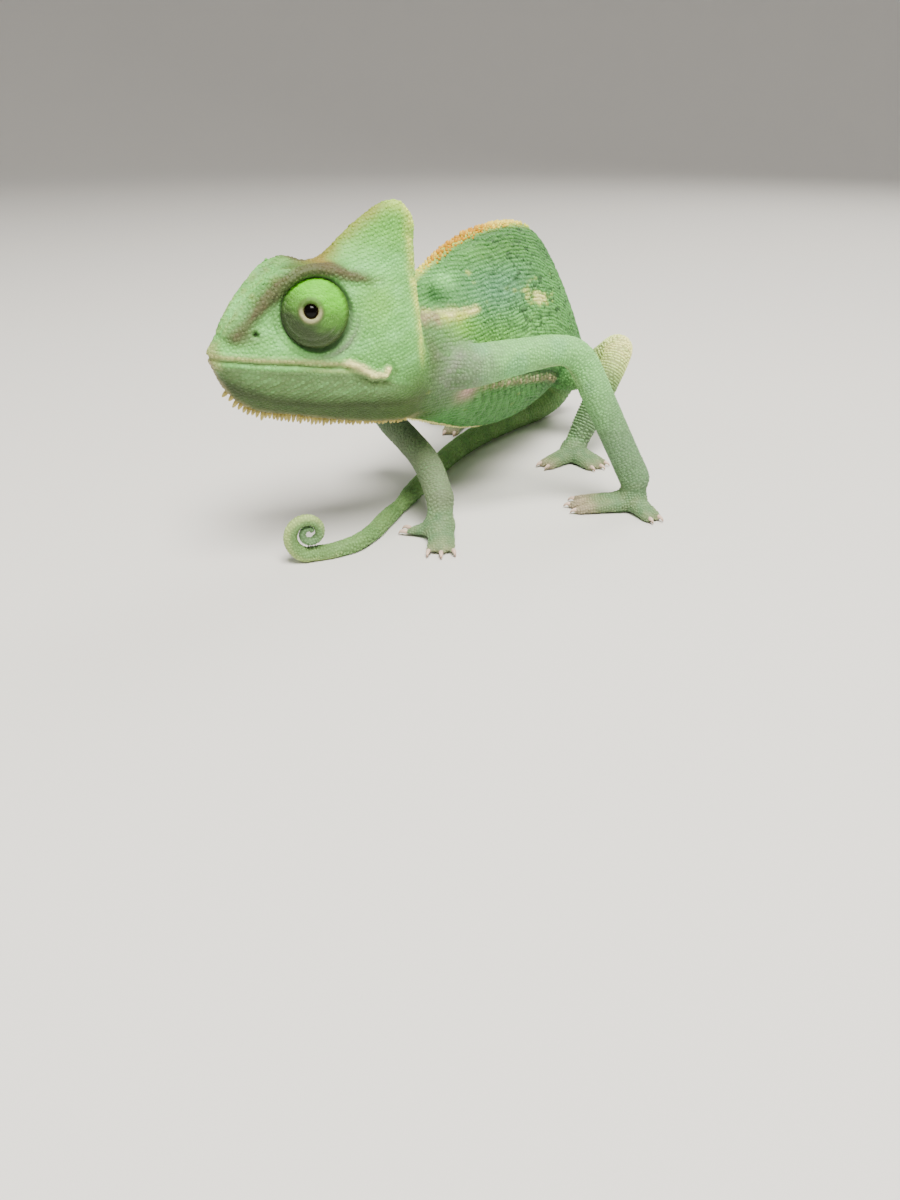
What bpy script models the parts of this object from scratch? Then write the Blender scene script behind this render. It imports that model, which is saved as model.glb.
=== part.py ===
"""Young veiled chameleon (Chamaeleo calyptratus) at life size, standing with its head turned
to its right, its left arm reaching out and back, and its tail brought forward to an upright coil.

Sizes are in millimetres times MM, so the model is in metres, +Z up, with the floor at z = 0.
The trunk faces -Y and the animal's left side is +X.  The body is modelled whole, from lofts and
tapered tubes fused into one skin, and is then parted into its named pieces by thin cuts.
"""
import bmesh
import bpy
import numpy as np
from math import cos, pi, radians, sin
from mathutils import Matrix, Vector
from mathutils.bvhtree import BVHTree

MM = 0.001

# ---- driving dimensions, in millimetres unless they say otherwise ----
GAP = 0.3                     # space left by a cut between two neighbouring pieces
SKIN_VOXEL = 0.42             # grain of the fused skin
SKIN_SMOOTHING = 4            # passes that take the steps of that grain away
BODY_TRIANGLES = 3800         # facets of the fused body, before it is cut
WELD = 0.00001                # metres; closer vertices of one tube are made one
CENTRE = (6.684, 17.807)      # plan position of the middle of the whole animal

# Trunk sections along Y: distance, belly, back, half width.
TRUNK_ROWS = (
    (-14.0, 23.5, 36.0, 4.6),
    (-8.0, 20.4, 39.6, 6.2),
    (-2.0, 18.2, 42.0, 7.2),
    (5.0, 15.6, 44.4, 8.0),
    (12.0, 13.0, 46.2, 8.5),
    (20.0, 10.8, 47.2, 8.8),
    (29.0, 9.4, 47.3, 8.8),
    (38.0, 9.1, 46.3, 8.4),
    (46.0, 10.0, 42.8, 7.6),
    (53.0, 11.8, 36.4, 6.5),
    (59.0, 13.2, 29.2, 5.3),
    (64.0, 13.8, 22.6, 4.1),
)
TRUNK_WIDEST = 0.40           # height of the widest level, as a share of the section
TRUNK_FULLNESS = 0.72         # under 1 rounds the flanks and keeps the keels thin
TRUNK_STEP = 1.5
TRUNK_LEVELS = 17             # points up one side of a section

# Head sections, from the snout back to the rear edge of the casque: distance ahead of the
# neck pivot, keel height, then half width and height of jaw, lip, cheek and brow, crown height.
HEAD_ROWS = (
    (28.4, 33.2, 0.5, 33.4, 0.8, 33.9, 0.8, 34.4, 0.5, 34.9, 35.0),
    (27.5, 30.2, 1.7, 31.6, 2.3, 33.7, 2.0, 34.9, 1.4, 35.8, 35.8),
    (25.5, 27.0, 2.5, 30.2, 3.5, 33.4, 3.0, 36.0, 2.3, 38.8, 38.5),
    (22.5, 24.8, 3.3, 28.8, 4.6, 32.9, 3.8, 37.2, 3.2, 42.3, 41.5),
    (19.0, 23.8, 3.9, 28.0, 5.5, 32.3, 4.1, 38.0, 4.3, 45.5, 43.9),
    (15.0, 22.9, 4.6, 27.4, 6.2, 31.8, 4.4, 38.0, 5.0, 45.7, 44.9),
    (11.0, 21.9, 5.2, 26.8, 6.7, 31.2, 4.9, 38.0, 5.2, 45.4, 46.2),
    (7.0, 21.0, 5.6, 26.4, 7.1, 30.7, 6.2, 38.0, 4.8, 44.8, 49.7),
    (3.0, 20.3, 5.9, 26.0, 7.1, 30.1, 6.7, 37.5, 3.9, 45.0, 52.4),
    (-1.0, 19.9, 5.8, 25.6, 6.8, 29.7, 5.9, 36.8, 2.7, 44.8, 54.1),
    (-3.5, 19.8, 5.4, 25.2, 6.0, 29.3, 4.6, 36.5, 1.8, 44.4, 53.6),
    (-5.0, 20.5, 4.2, 25.4, 4.5, 29.2, 3.0, 36.0, 1.1, 44.0, 51.6),
)
HEAD_STEP = 0.9
MIDLINE = 0.05                # how far the two halves of a section stay off the midline
HEAD_TURN = radians(33.0)
NECK_PIVOT = (0.0, -10.0)
CREST_HALF_WIDTH = 0.9        # the casque's crest, one millimetre below its edge
CREST_DEPTH = 1.0
CREST_RISE = 4.0              # height above the brow at which the crest is fully a thin blade

EYE_CENTRE = (13.0, 3.6, 39.6)   # ahead of the pivot, out from the midline, height
EYE_RADIUS = 5.15
EYE_FLAT = 1.3                # the turret's inner face, out from the midline
GAZE = (0.38, 0.90, 0.21)     # forward, outward, up
PUPIL_RADIUS = 1.5            # the ball that shows in the turret's opening
PUPIL_SEAT = 4.0              # from the turret's centre to the ball's centre
TURRET_SEGMENTS = 16
PUPIL_SEGMENTS = 10

MOUTH_FRONT = (29.5, 33.9)    # distance ahead of the pivot, height
MOUTH_CORNER = (4.0, 30.3)
JAW_HEEL = (0.5, 17.0)
CASQUE_FRONT = (11.5, 48.2)
CASQUE_REAR = (-7.0, 43.6)
HEAD_PLATE = 10.0             # half width of a cut through the head

# Limb paths: x, y, z, radius from the shoulder or hip to the wrist or ankle.
LEFT_ARM = ((4.5, 1.0, 27.5, 4.2), (8.5, 2.0, 27.6, 3.7), (14.5, 8.5, 28.6, 3.0),
            (19.6, 14.8, 29.0, 2.6), (22.6, 17.2, 27.2, 2.7), (26.2, 18.2, 20.5, 2.75),
            (30.6, 19.4, 12.0, 2.7), (33.6, 20.2, 6.2, 2.75))
RIGHT_ARM = ((-5.0, 2.0, 26.0, 4.0), (-10.2, 4.4, 24.0, 3.3), (-14.4, 7.4, 18.0, 2.8),
             (-12.8, 9.6, 12.6, 2.6), (-6.4, 6.0, 10.8, 2.5), (1.6, -0.4, 9.6, 2.5),
             (7.8, -6.6, 6.2, 2.6))
LEFT_LEG = ((3.0, 50.0, 16.4, 4.2), (7.0, 51.6, 14.8, 3.6), (12.0, 54.0, 17.2, 3.1),
            (15.6, 54.4, 20.6, 2.9), (17.0, 51.4, 19.8, 2.8), (16.0, 46.2, 13.4, 2.7),
            (14.4, 41.6, 6.4, 2.5))
RIGHT_LEG = ((-3.0, 51.0, 17.0, 4.2), (-7.2, 49.0, 16.4, 3.6), (-13.0, 44.8, 19.2, 3.0),
             (-17.6, 41.8, 21.6, 2.8), (-20.4, 43.4, 18.4, 2.65), (-20.2, 46.6, 12.2, 2.6),
             (-18.6, 49.6, 6.4, 2.5))

# Feet: palm x, y; heading in degrees (0 is -Y, positive towards +X) and toe count of each bundle.
FEET = {
    "left_fore": ((33.6, 20.0), (-63.0, 3, 11.0), (58.0, 2, 6.4)),
    "right_fore": ((9.0, -8.6), (32.0, 3, 7.4), (-76.0, 2, 5.9)),
    "left_hind": ((13.6, 39.0), (-22.0, 2, 8.0), (72.0, 3, 7.2)),
    "right_hind": ((-18.6, 47.6), (12.0, 2, 8.0), (-84.0, 3, 7.2)),
}
LIMBS = {"left_fore": LEFT_ARM, "right_fore": RIGHT_ARM, "left_hind": LEFT_LEG, "right_hind": RIGHT_LEG}
ANKLE_RADIUS = 2.3            # of the short stretch between a limb's end and its palm
PALM_RADIUS = 2.5
PALM_HEIGHT = 2.4
TOE_SPREAD = radians(11.0)    # between neighbouring toes of a bundle
TOE_STEP = 0.75               # and the same at their roots, in millimetres
TOE_SHORTER = 0.06            # share of its length that an outer toe lacks
TOE_ROWS = ((0.0, 2.2, 1.5), (0.3, 1.55, 1.35), (0.55, 1.4, 1.155), (1.0, 0.8, 0.861))
WEB_ROWS = ((0.0, 2.2, 2.2), (0.3, 1.7, 1.75), (0.55, 1.3, 1.25))   # share of length, z, radius
CLAW_LENGTH = 1.5
CLAW_RADIUS = 0.42
CLAW_SET = 0.45               # from the toe's last joint to where its claw comes out
CLAW_LIFT = 0.1

# Tail from the rump to the floor and forward to the coil: x, y, z, radius.
TAIL_PATH = ((0.0, 58.0, 19.5, 4.6), (-0.2, 63.5, 16.2, 4.1), (-1.2, 66.4, 10.6, 3.6),
             (-3.0, 65.0, 5.4, 3.2), (-5.4, 59.5, 2.9, 2.9), (-7.4, 50.0, 2.45, 2.6),
             (-8.6, 38.0, 2.15, 2.3), (-8.2, 25.0, 1.9, 2.05), (-6.0, 12.0, 1.65, 1.8),
             (-3.8, 0.5, 1.5, 1.65), (-2.2, -8.5, 1.38, 1.5), (-1.0, -14.5, 1.3, 1.42),
             (-1.0, -20.0, 1.22, 1.36), (-2.9, -24.3, 1.18, 1.32))
COIL_CENTRE = (-5.0, -27.0, 5.05)
COIL_HEADING = radians(-40.0)     # the tail's heading where the coil begins
COIL_TURNS = 1.62
COIL_RADII = (3.95, 0.75)         # centre line, at the coil's start and at the tail's tip
COIL_THICKNESS = (1.3, 0.42)      # the tail's own radius there
COIL_POINTS = 36

GULAR_CONES = 28
GULAR_SPAN = (26.6, -3.2)
GULAR_LENGTH = (1.4, 0.8)
GULAR_RADIUS = 0.44
JAW_CONES_TO = 2.3            # cones from the chin back to here hang from the lower jaw
HEAD_CONES_FROM = 0.6         # and those behind here from the head
CREST_CONES = 25
CREST_SPAN = (0.0, 47.0)
CREST_LENGTH = 0.95
CREST_RADIUS = 0.6
CONE_SINK = 0.35              # how deep a cone's base lies under the skin

FLOOR_SKIM = 0.15             # what the floor plane takes off a sole, to leave a flat
FLOOR_BLOCK = (200.0, 300.0, 20.0)

# Upright cuts before and behind the neck: centre, and how far each is turned with the head.
NECK_CUTS = (((3.1, -5.3, 30.0), radians(20.0)), ((0.0, -1.6, 30.0), radians(8.0)))
NECK_PLATE = (31.0, 40.0)

# Where discs part the limbs and tail: path, share of its length, radius of the disc.
LIMB_CUTS = (
    (LEFT_ARM, 0.17, 6.2), (LEFT_ARM, 0.50, 5.0), (LEFT_ARM, 0.955, 4.4),
    (RIGHT_ARM, 0.20, 5.6), (RIGHT_ARM, 0.46, 4.6), (RIGHT_ARM, 0.94, 4.0),
    (LEFT_LEG, 0.18, 5.6), (LEFT_LEG, 0.61, 4.0), (LEFT_LEG, 0.93, 4.2),
    (RIGHT_LEG, 0.22, 6.0), (RIGHT_LEG, 0.61, 4.2), (RIGHT_LEG, 0.93, 4.2),
    (TAIL_PATH, 0.06, 7.5), (TAIL_PATH, 0.27, 4.2), (TAIL_PATH, 0.62, 3.2),
)

COLOURS = {
    "body": (0.24, 0.50, 0.19),
    "head": (0.30, 0.56, 0.28),
    "leg": (0.33, 0.52, 0.30),
    "tail": (0.33, 0.45, 0.20),
    "turret": (0.22, 0.52, 0.10),
    "pupil": (0.01, 0.01, 0.01),
}


# ---- shared helpers ----

def row_at(rows, x):
    """Interpolate the columns of rows at x, a value of the first column, on a smooth curve."""
    table = np.array(sorted(rows))
    at, values = table[:, 0], table[:, 1:]
    slopes = np.gradient(values, at, axis=0)
    i = int(np.clip(np.searchsorted(at, x) - 1, 0, len(at) - 2))
    span = at[i + 1] - at[i]
    t = (x - at[i]) / span
    start = (1 + 2 * t) * (1 - t) ** 2 * values[i] + t * (1 - t) ** 2 * span * slopes[i]
    end = t * t * (3 - 2 * t) * values[i + 1] + t * t * (t - 1) * span * slopes[i + 1]
    return start + end


def smooth_path(points, per_span):
    """Catmull-Rom points through a short list of points, with any extra columns blended too."""
    p = np.array(points, dtype=float)
    p = np.vstack([2 * p[0] - p[1], p, 2 * p[-1] - p[-2]])
    path = []
    for a, b, c, d in zip(p, p[1:], p[2:], p[3:]):
        for t in np.arange(per_span) / per_span:
            path.append(0.5 * (2 * b + (c - a) * t + (2 * a - 5 * b + 4 * c - d) * t ** 2
                               + (3 * b - a - 3 * c + d) * t ** 3))
    path.append(p[-2])
    return np.array(path)


def head_point(ahead, out, height):
    """A place on the head, turned with it: ahead of the neck pivot, out to the left, height."""
    forward = Vector((-sin(HEAD_TURN), -cos(HEAD_TURN), 0.0))
    left = Vector((cos(HEAD_TURN), -sin(HEAD_TURN), 0.0))
    return Vector((*NECK_PIVOT, height)) + forward * ahead + left * out


def new_object(name, mesh, collection):
    thing = bpy.data.objects.new(name, mesh)
    collection.objects.link(thing)
    return thing


def mesh_from(name, bm):
    mesh = bpy.data.meshes.new(name)
    bm.to_mesh(mesh)
    bm.free()
    return mesh


def evaluated_mesh(thing):
    """The object's mesh with its modifiers applied."""
    bpy.context.view_layer.update()
    graph = bpy.context.evaluated_depsgraph_get()
    return bpy.data.meshes.new_from_object(thing.evaluated_get(graph))


def loft(bm, rings):
    """Add a closed skin over rings of equally many points, with a flat cap at each end."""
    loops = [[bm.verts.new(Vector(p) * MM) for p in ring] for ring in rings]
    faces = []
    for near, far in zip(loops, loops[1:]):
        for i in range(len(near)):
            j = (i + 1) % len(near)
            faces.append(bm.faces.new((near[i], near[j], far[j], far[i])))
    faces.append(bm.faces.new(loops[0][::-1]))
    faces.append(bm.faces.new(loops[-1]))
    bmesh.ops.recalc_face_normals(bm, faces=faces)


def tube_mesh(path, sides_step=2):
    """A tapered tube along rows of x, y, z, radius, as a curve with filled caps made a mesh."""
    curve = bpy.data.curves.new("tube", "CURVE")
    curve.dimensions = "3D"
    curve.bevel_depth = MM
    curve.bevel_resolution = sides_step
    curve.use_fill_caps = True
    spline = curve.splines.new("POLY")
    spline.points.add(len(path) - 1)
    for point, (x, y, z, radius) in zip(spline.points, path):
        point.co = (x * MM, y * MM, z * MM, 1.0)
        point.radius = radius
    holder = new_object("tube", curve, bpy.context.scene.collection)
    mesh = evaluated_mesh(holder)
    bpy.data.objects.remove(holder)
    return mesh


def add_tube(bm, path, sides_step=2):
    """Add a welded tube to bm, with a ball at each end so that it has no sharp rim."""
    tube = bmesh.new()
    tube.from_mesh(tube_mesh(path, sides_step))
    bmesh.ops.remove_doubles(tube, verts=tube.verts, dist=WELD)
    bmesh.ops.recalc_face_normals(tube, faces=tube.faces)
    mesh = mesh_from("tube", tube)
    bm.from_mesh(mesh)
    for x, y, z, radius in (path[0], path[-1]):
        add_ball(bm, (x, y, z), radius)


def add_ball(bm, centre, radius, stretch=(1.0, 1.0, 1.0), segments=20):
    place = Matrix.Translation(Vector(centre) * MM) @ Matrix.Diagonal((*stretch, 1.0))
    bmesh.ops.create_uvsphere(bm, u_segments=segments, v_segments=segments * 5 // 8,
                              radius=radius * MM, matrix=place)


def add_cone(bm, base, direction, radius, length, sides=4):
    """A small cone whose base is sunk a little under the skin, at base."""
    axis = Vector(direction).normalized()
    middle = (Vector(base) + axis * (length - CONE_SINK) / 2) * MM
    place = Matrix.Translation(middle) @ axis.to_track_quat("Z", "Y").to_matrix().to_4x4()
    bmesh.ops.create_cone(bm, cap_ends=True, segments=sides, radius1=radius * MM,
                          radius2=0.0, depth=(length + CONE_SINK) * MM, matrix=place)


def join_by_union(thing, bm, tool_collection):
    """Fuse the closed shapes in bm onto the object's mesh."""
    tool = new_object(thing.name + "_growths", mesh_from("growths", bm), tool_collection)
    join = thing.modifiers.new("join", "BOOLEAN")
    join.operation = "UNION"
    join.solver = "EXACT"
    join.object = tool
    thing.data = evaluated_mesh(thing)
    thing.modifiers.remove(join)
    bpy.data.objects.remove(tool)


def material(name):
    """A Principled material in one of the part's colours."""
    made = bpy.data.materials.get(name) or bpy.data.materials.new(name)
    made.use_nodes = True
    shader = made.node_tree.nodes["Principled BSDF"]
    shader.inputs["Base Color"].default_value = (*COLOURS[name], 1.0)
    shader.inputs["Roughness"].default_value = 0.15 if name == "pupil" else 0.6
    shader.inputs["Metallic"].default_value = 0.0
    return made


# ---- the whole body ----

def trunk_rings():
    """Sections of the neck and trunk: keeled above and below, widest under the middle."""
    power = np.log(0.5) / np.log(TRUNK_WIDEST)
    rings = []
    for y in np.arange(TRUNK_ROWS[0][0], TRUNK_ROWS[-1][0] + WELD, TRUNK_STEP):
        belly, back, half_width = row_at(TRUNK_ROWS, y)
        side = []
        for t in np.linspace(0.02, 0.98, TRUNK_LEVELS):
            level = (1 - cos(pi * t)) / 2
            out = half_width * sin(pi * level ** power) ** TRUNK_FULLNESS
            side.append((out, y, belly + (back - belly) * level))
        rings.append(side + [(-x, y_, z) for x, y_, z in reversed(side)])
    return rings


def head_side(ahead):
    """The left half of a head section, from the keel under the chin up to the crown."""
    row = row_at(HEAD_ROWS, ahead)
    keel, jaw_w, jaw_z, lip_w, lip_z, cheek_w, cheek_z, brow_w, brow_z, crown = row
    risen = float(np.clip((crown - brow_z) / CREST_RISE, 0.0, 1.0))
    ridge_w = 0.55 * brow_w * (1 - risen) + min(CREST_HALF_WIDTH, brow_w) * risen
    ridge_z = (0.85 * crown + 0.15 * brow_z) * (1 - risen) + (crown - CREST_DEPTH) * risen
    corners = ((MIDLINE, keel), (jaw_w, jaw_z), (lip_w, lip_z), (cheek_w, cheek_z),
               (brow_w, brow_z), (ridge_w, ridge_z), (MIDLINE, crown))
    return smooth_path(corners, 4)


def head_rings():
    rings = []
    back, front = HEAD_ROWS[-1][0], HEAD_ROWS[0][0]
    for ahead in np.append(np.arange(back, front, HEAD_STEP), front):
        side = [(max(out, MIDLINE), height) for out, height in head_side(ahead)]
        rings.append([head_point(ahead, out, height) for out, height in side]
                     + [head_point(ahead, -out, height) for out, height in reversed(side)])
    return rings


def toe_paths(foot):
    """Rows of x, y, z, radius for each toe of a foot, bundle by bundle."""
    (palm_x, palm_y), *bundles = FEET[foot]
    paths = []
    for heading, toes, length in bundles:
        for k in range(toes):
            lean = (k - (toes - 1) / 2)
            turn = radians(heading) + lean * TOE_SPREAD
            reach = length * (1.0 - TOE_SHORTER * abs(lean))
            go = np.array((sin(turn), -cos(turn)))
            start = np.array((palm_x + cos(turn) * lean * TOE_STEP, palm_y + sin(turn) * lean * TOE_STEP))
            paths.append([(*(start + go * reach * share), z, radius) for share, z, radius in TOE_ROWS])
    return paths


def add_foot(bm, foot):
    (palm_x, palm_y), *bundles = FEET[foot]
    add_ball(bm, (palm_x, palm_y, PALM_HEIGHT), PALM_RADIUS, (1.1, 1.1, 1.05))
    add_tube(bm, [LIMBS[foot][-1][:3] + (ANKLE_RADIUS,), (palm_x, palm_y, PALM_HEIGHT, ANKLE_RADIUS)])
    for path in toe_paths(foot):
        add_tube(bm, smooth_path(path, 3))
    for heading, toes, length in bundles:
        turn = radians(heading)
        add_tube(bm, [(palm_x + sin(turn) * length * share, palm_y - cos(turn) * length * share, z, radius)
                      for share, z, radius in WEB_ROWS])


def fused_body(workshop):
    """Trunk, head, legs and tail as one smooth closed skin of few facets."""
    bm = bmesh.new()
    loft(bm, trunk_rings())
    loft(bm, head_rings())
    for limb in (LEFT_ARM, RIGHT_ARM, LEFT_LEG, RIGHT_LEG):
        add_tube(bm, smooth_path(limb, 5))
    for foot in FEET:
        add_foot(bm, foot)
    add_tube(bm, smooth_path(TAIL_PATH, 5))
    fused = new_object("fused", mesh_from("fused", bm), workshop)
    remesh = fused.modifiers.new("skin", "REMESH")
    remesh.mode = "VOXEL"
    remesh.voxel_size = SKIN_VOXEL * MM
    smooth = fused.modifiers.new("smooth", "SMOOTH")
    smooth.factor = 0.5
    smooth.iterations = SKIN_SMOOTHING
    fused.data = evaluated_mesh(fused)
    fused.modifiers.clear()
    thin = fused.modifiers.new("facets", "DECIMATE")
    thin.ratio = BODY_TRIANGLES / sum(len(face.vertices) - 2 for face in fused.data.polygons)
    thin.use_collapse_triangulate = True
    fused.data = evaluated_mesh(fused)
    fused.modifiers.clear()
    return fused


# ---- the cuts ----

def slab(bm, centre, normal, size, along=(0, 0, 1)):
    """A thin plate as wide as size = (across, along), square to normal, centred at centre."""
    n = Vector(normal).normalized()
    up = (Vector(along) - n * n.dot(Vector(along))).normalized()
    across = up.cross(n)
    turn = Matrix((across, up, n)).transposed().to_4x4()
    scale = Matrix.Diagonal((size[0] * MM, size[1] * MM, GAP * MM, 1.0))
    place = Matrix.Translation(Vector(centre) * MM)
    bmesh.ops.create_cube(bm, size=1.0, matrix=place @ turn @ scale)


def disc_cut(bm, path, share, radius):
    """A thin disc across a tube's path at a share of its length, wider than the tube there."""
    rows = smooth_path(path, 8)
    steps = np.linalg.norm(np.diff(rows[:, :3], axis=0), axis=1)
    lengths = np.concatenate([[0.0], np.cumsum(steps)])
    i = int(np.searchsorted(lengths, share * lengths[-1]))
    axis = Vector(rows[min(i + 2, len(rows) - 1), :3] - rows[max(i - 2, 0), :3]).normalized()
    turn = axis.to_track_quat("Z", "Y").to_matrix().to_4x4()
    place = Matrix.Translation(Vector(rows[i, :3]) * MM) @ turn
    bmesh.ops.create_cone(bm, cap_ends=True, segments=20, radius1=radius * MM, radius2=radius * MM,
                          depth=GAP * MM, matrix=place)


def plate_between(bm, start, end):
    """A plate in the head whose edge view runs from start to end, given as (ahead, height)."""
    a = head_point(start[0], 0.0, start[1])
    b = head_point(end[0], 0.0, end[1])
    run = b - a
    side = head_point(0.0, 1.0, 0.0) - head_point(0.0, 0.0, 0.0)
    slab(bm, (a + b) / 2, side.cross(run), (2 * HEAD_PLATE, run.length), along=run)


def thin_cuts():
    """Every thin cut that parts the fused body, each as a mesh of its own."""
    cuts = []

    def cut_with(make, *arguments):
        bm = bmesh.new()
        make(bm, *arguments)
        cuts.append(mesh_from("cut", bm))

    for centre, turn in NECK_CUTS:
        cut_with(slab, centre, (sin(turn), cos(turn), 0.0), NECK_PLATE)
    cut_with(plate_between, CASQUE_FRONT, CASQUE_REAR)
    cut_with(plate_between, MOUTH_FRONT, MOUTH_CORNER)
    cut_with(plate_between, (MOUTH_CORNER[0] + GAP / 3, MOUTH_CORNER[1]), JAW_HEEL)
    for path, share, radius in LIMB_CUTS:
        cut_with(disc_cut, path, share, radius)
    return cuts


def socket_cutters():
    """The two hollows that the eye turrets sit in, each short of the midline."""
    bm = bmesh.new()
    for side in (1, -1):
        socket = turret_shape(side, EYE_RADIUS + GAP, EYE_FLAT - GAP)
        bm.from_mesh(socket)
    return mesh_from("sockets", bm)


def floor_cutter():
    """Everything under the floor, so that soles, toes and tail rest on flats at one level."""
    bm = bmesh.new()
    middle = Vector((*CENTRE, FLOOR_SKIM - FLOOR_BLOCK[2] / 2)) * MM
    size = Matrix.Diagonal((*(Vector(FLOOR_BLOCK) * MM), 1.0))
    bmesh.ops.create_cube(bm, size=1.0, matrix=Matrix.Translation(middle) @ size)
    return mesh_from("floor", bm)


def cut_away(thing, cutter_mesh, cutters):
    """Take a cutter's shape off the object's mesh."""
    cutter = new_object(cutter_mesh.name, cutter_mesh, cutters)
    cutter.hide_render = True
    cutter.display_type = "WIRE"
    cut = thing.modifiers.new("cut", "BOOLEAN")
    cut.operation = "DIFFERENCE"
    cut.solver = "EXACT"
    cut.use_self = True
    cut.object = cutter
    thing.data = evaluated_mesh(thing)
    thing.modifiers.remove(cut)
    bpy.data.objects.remove(cutter)


def islands(mesh):
    """Split a mesh into its separate closed bodies, as bmeshes."""
    whole = bmesh.new()
    whole.from_mesh(mesh)
    left = set(whole.verts)
    groups = []
    while left:
        group = {left.pop()}
        edge = list(group)
        while edge:
            near = {e.other_vert(v) for v in edge for e in v.link_edges} - group
            group |= near
            edge = list(near)
        left -= group
        groups.append(sorted(v.index for v in group))
    whole.free()
    parts = []
    for group in sorted(groups):
        keep = set(group)
        part = bmesh.new()
        part.from_mesh(mesh)
        bmesh.ops.delete(part, geom=[v for v in part.verts if v.index not in keep], context="VERTS")
        parts.append(part)
    return parts


def along(path, share):
    """The place at a share of a tube path's length."""
    rows = smooth_path(path, 8)
    return Vector(rows[int(round(share * (len(rows) - 1))), :3])


def piece_places():
    """A point well inside each piece of the cut body, by the piece's name."""
    places = {
        "head": head_point(5.0, 0.0, 38.0),
        "casque": head_point(1.0, 0.0, 50.0),
        "lower_jaw": head_point(15.0, 0.0, 26.0),
        "neck": Vector((1.0, -3.4, 30.0)),
        "trunk": Vector((0.0, 28.0, 28.0)),
        "tail_base": along(TAIL_PATH, 0.20),
        "tail_middle": along(TAIL_PATH, 0.50),
        "tail_front": along(TAIL_PATH, 0.80),
        "left_upper_arm": along(LEFT_ARM, 0.35),
        "left_forearm": along(LEFT_ARM, 0.75),
        "right_upper_arm": along(RIGHT_ARM, 0.38),
        "right_forearm": along(RIGHT_ARM, 0.75),
        "left_thigh": along(LEFT_LEG, 0.35),
        "left_shank": along(LEFT_LEG, 0.75),
        "right_thigh": along(RIGHT_LEG, 0.35),
        "right_shank": along(RIGHT_LEG, 0.75),
    }
    for foot, ((x, y), *bundles) in FEET.items():
        places[foot + "_foot"] = Vector((x, y, 2.0))
    return places


def holds(tree, point):
    """Whether a point lies inside a closed shape, by the surfaces that a ray from it crosses."""
    ray, crossings = Vector((0.831, 0.149, 0.536)).normalized(), 0
    start = point * MM
    while start is not None:
        start = tree.ray_cast(start, ray)[0]
        if start is not None:
            crossings += 1
            start = start + ray * 1e-6
    return crossings % 2 == 1


def name_pieces(parts, collection):
    """Make an object of each cut piece, named for the place that it holds."""
    pieces = {}
    trees = [BVHTree.FromBMesh(part) for part in parts]
    for name, place in piece_places().items():
        home = next(part for part, tree in zip(parts, trees) if holds(tree, place))
        pieces[name] = new_object(name, mesh_from(name, home), collection)
    return pieces


# ---- pieces made on their own ----

def turret_shape(side, radius, flat):
    """A ball for one eye turret, cut flat where it faces the midline."""
    bm = bmesh.new()
    ahead, out, height = EYE_CENTRE
    place = Matrix.Translation(head_point(ahead, side * out, height) * MM)
    bmesh.ops.create_uvsphere(bm, u_segments=TURRET_SEGMENTS, v_segments=TURRET_SEGMENTS * 5 // 8,
                              radius=radius * MM, matrix=place)
    inner = head_point(ahead, side * flat, height) * MM
    normal = (head_point(0.0, side, 0.0) - head_point(0.0, 0.0, 0.0)).normalized()
    geometry = bm.verts[:] + bm.edges[:] + bm.faces[:]
    bmesh.ops.bisect_plane(bm, geom=geometry, plane_co=inner, plane_no=normal, clear_inner=True)
    rim = [edge for edge in bm.edges if edge.is_boundary]
    bmesh.ops.holes_fill(bm, edges=rim, sides=len(rim))
    bmesh.ops.recalc_face_normals(bm, faces=bm.faces)
    return mesh_from("turret", bm)


def gaze_direction(side):
    forward, outward, upward = GAZE
    aim = head_point(forward, side * outward, upward) - head_point(0.0, 0.0, 0.0)
    return aim.normalized()


def eye(side, word, collection, cutters):
    """A turret with a pit at its front, and the ball whose pupil shows in the pit."""
    ahead, out, height = EYE_CENTRE
    ball_centre = head_point(ahead, side * out, height) + gaze_direction(side) * PUPIL_SEAT
    turret = new_object("eye_turret_" + word, turret_shape(side, EYE_RADIUS, EYE_FLAT), collection)
    pit = bmesh.new()
    add_ball(pit, ball_centre, PUPIL_RADIUS + GAP, segments=PUPIL_SEGMENTS)
    cut_away(turret, mesh_from("pit", pit), cutters)
    ball = bmesh.new()
    add_ball(ball, ball_centre, PUPIL_RADIUS, segments=PUPIL_SEGMENTS)
    eyeball = new_object("eyeball_" + word, mesh_from("eyeball", ball), collection)
    return {turret.name: turret, eyeball.name: eyeball}


def coil_path():
    """The tail's end wound in an upright spiral: x, y, z, radius."""
    go = Vector((sin(COIL_HEADING), -cos(COIL_HEADING), 0.0))
    first = Vector(TAIL_PATH[-1][:3]) + go * (GAP + TAIL_PATH[-1][3])
    rows = [(*first, COIL_THICKNESS[0])]
    for i in range(COIL_POINTS):
        share = i / (COIL_POINTS - 1)
        radius = COIL_RADII[0] * (COIL_RADII[1] / COIL_RADII[0]) ** share
        angle = 2 * pi * COIL_TURNS * share
        place = Vector(COIL_CENTRE) + go * sin(angle) * radius
        thickness = COIL_THICKNESS[0] * (COIL_THICKNESS[1] / COIL_THICKNESS[0]) ** share
        rows.append((place.x, place.y, place.z - cos(angle) * radius, thickness))
    return rows


def coil(collection, cutters):
    """The coil's solid: its tube, resting on the floor, with the same small flat as the tail."""
    tube = bmesh.new()
    rows = coil_path()
    tube.from_mesh(tube_mesh(rows, 1))
    bmesh.ops.remove_doubles(tube, verts=tube.verts, dist=WELD)
    bmesh.ops.recalc_face_normals(tube, faces=tube.faces)
    thing = new_object("tail_coil", mesh_from("tail_coil", tube), collection)
    cut_away(thing, floor_cutter(), cutters)
    return thing


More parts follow.
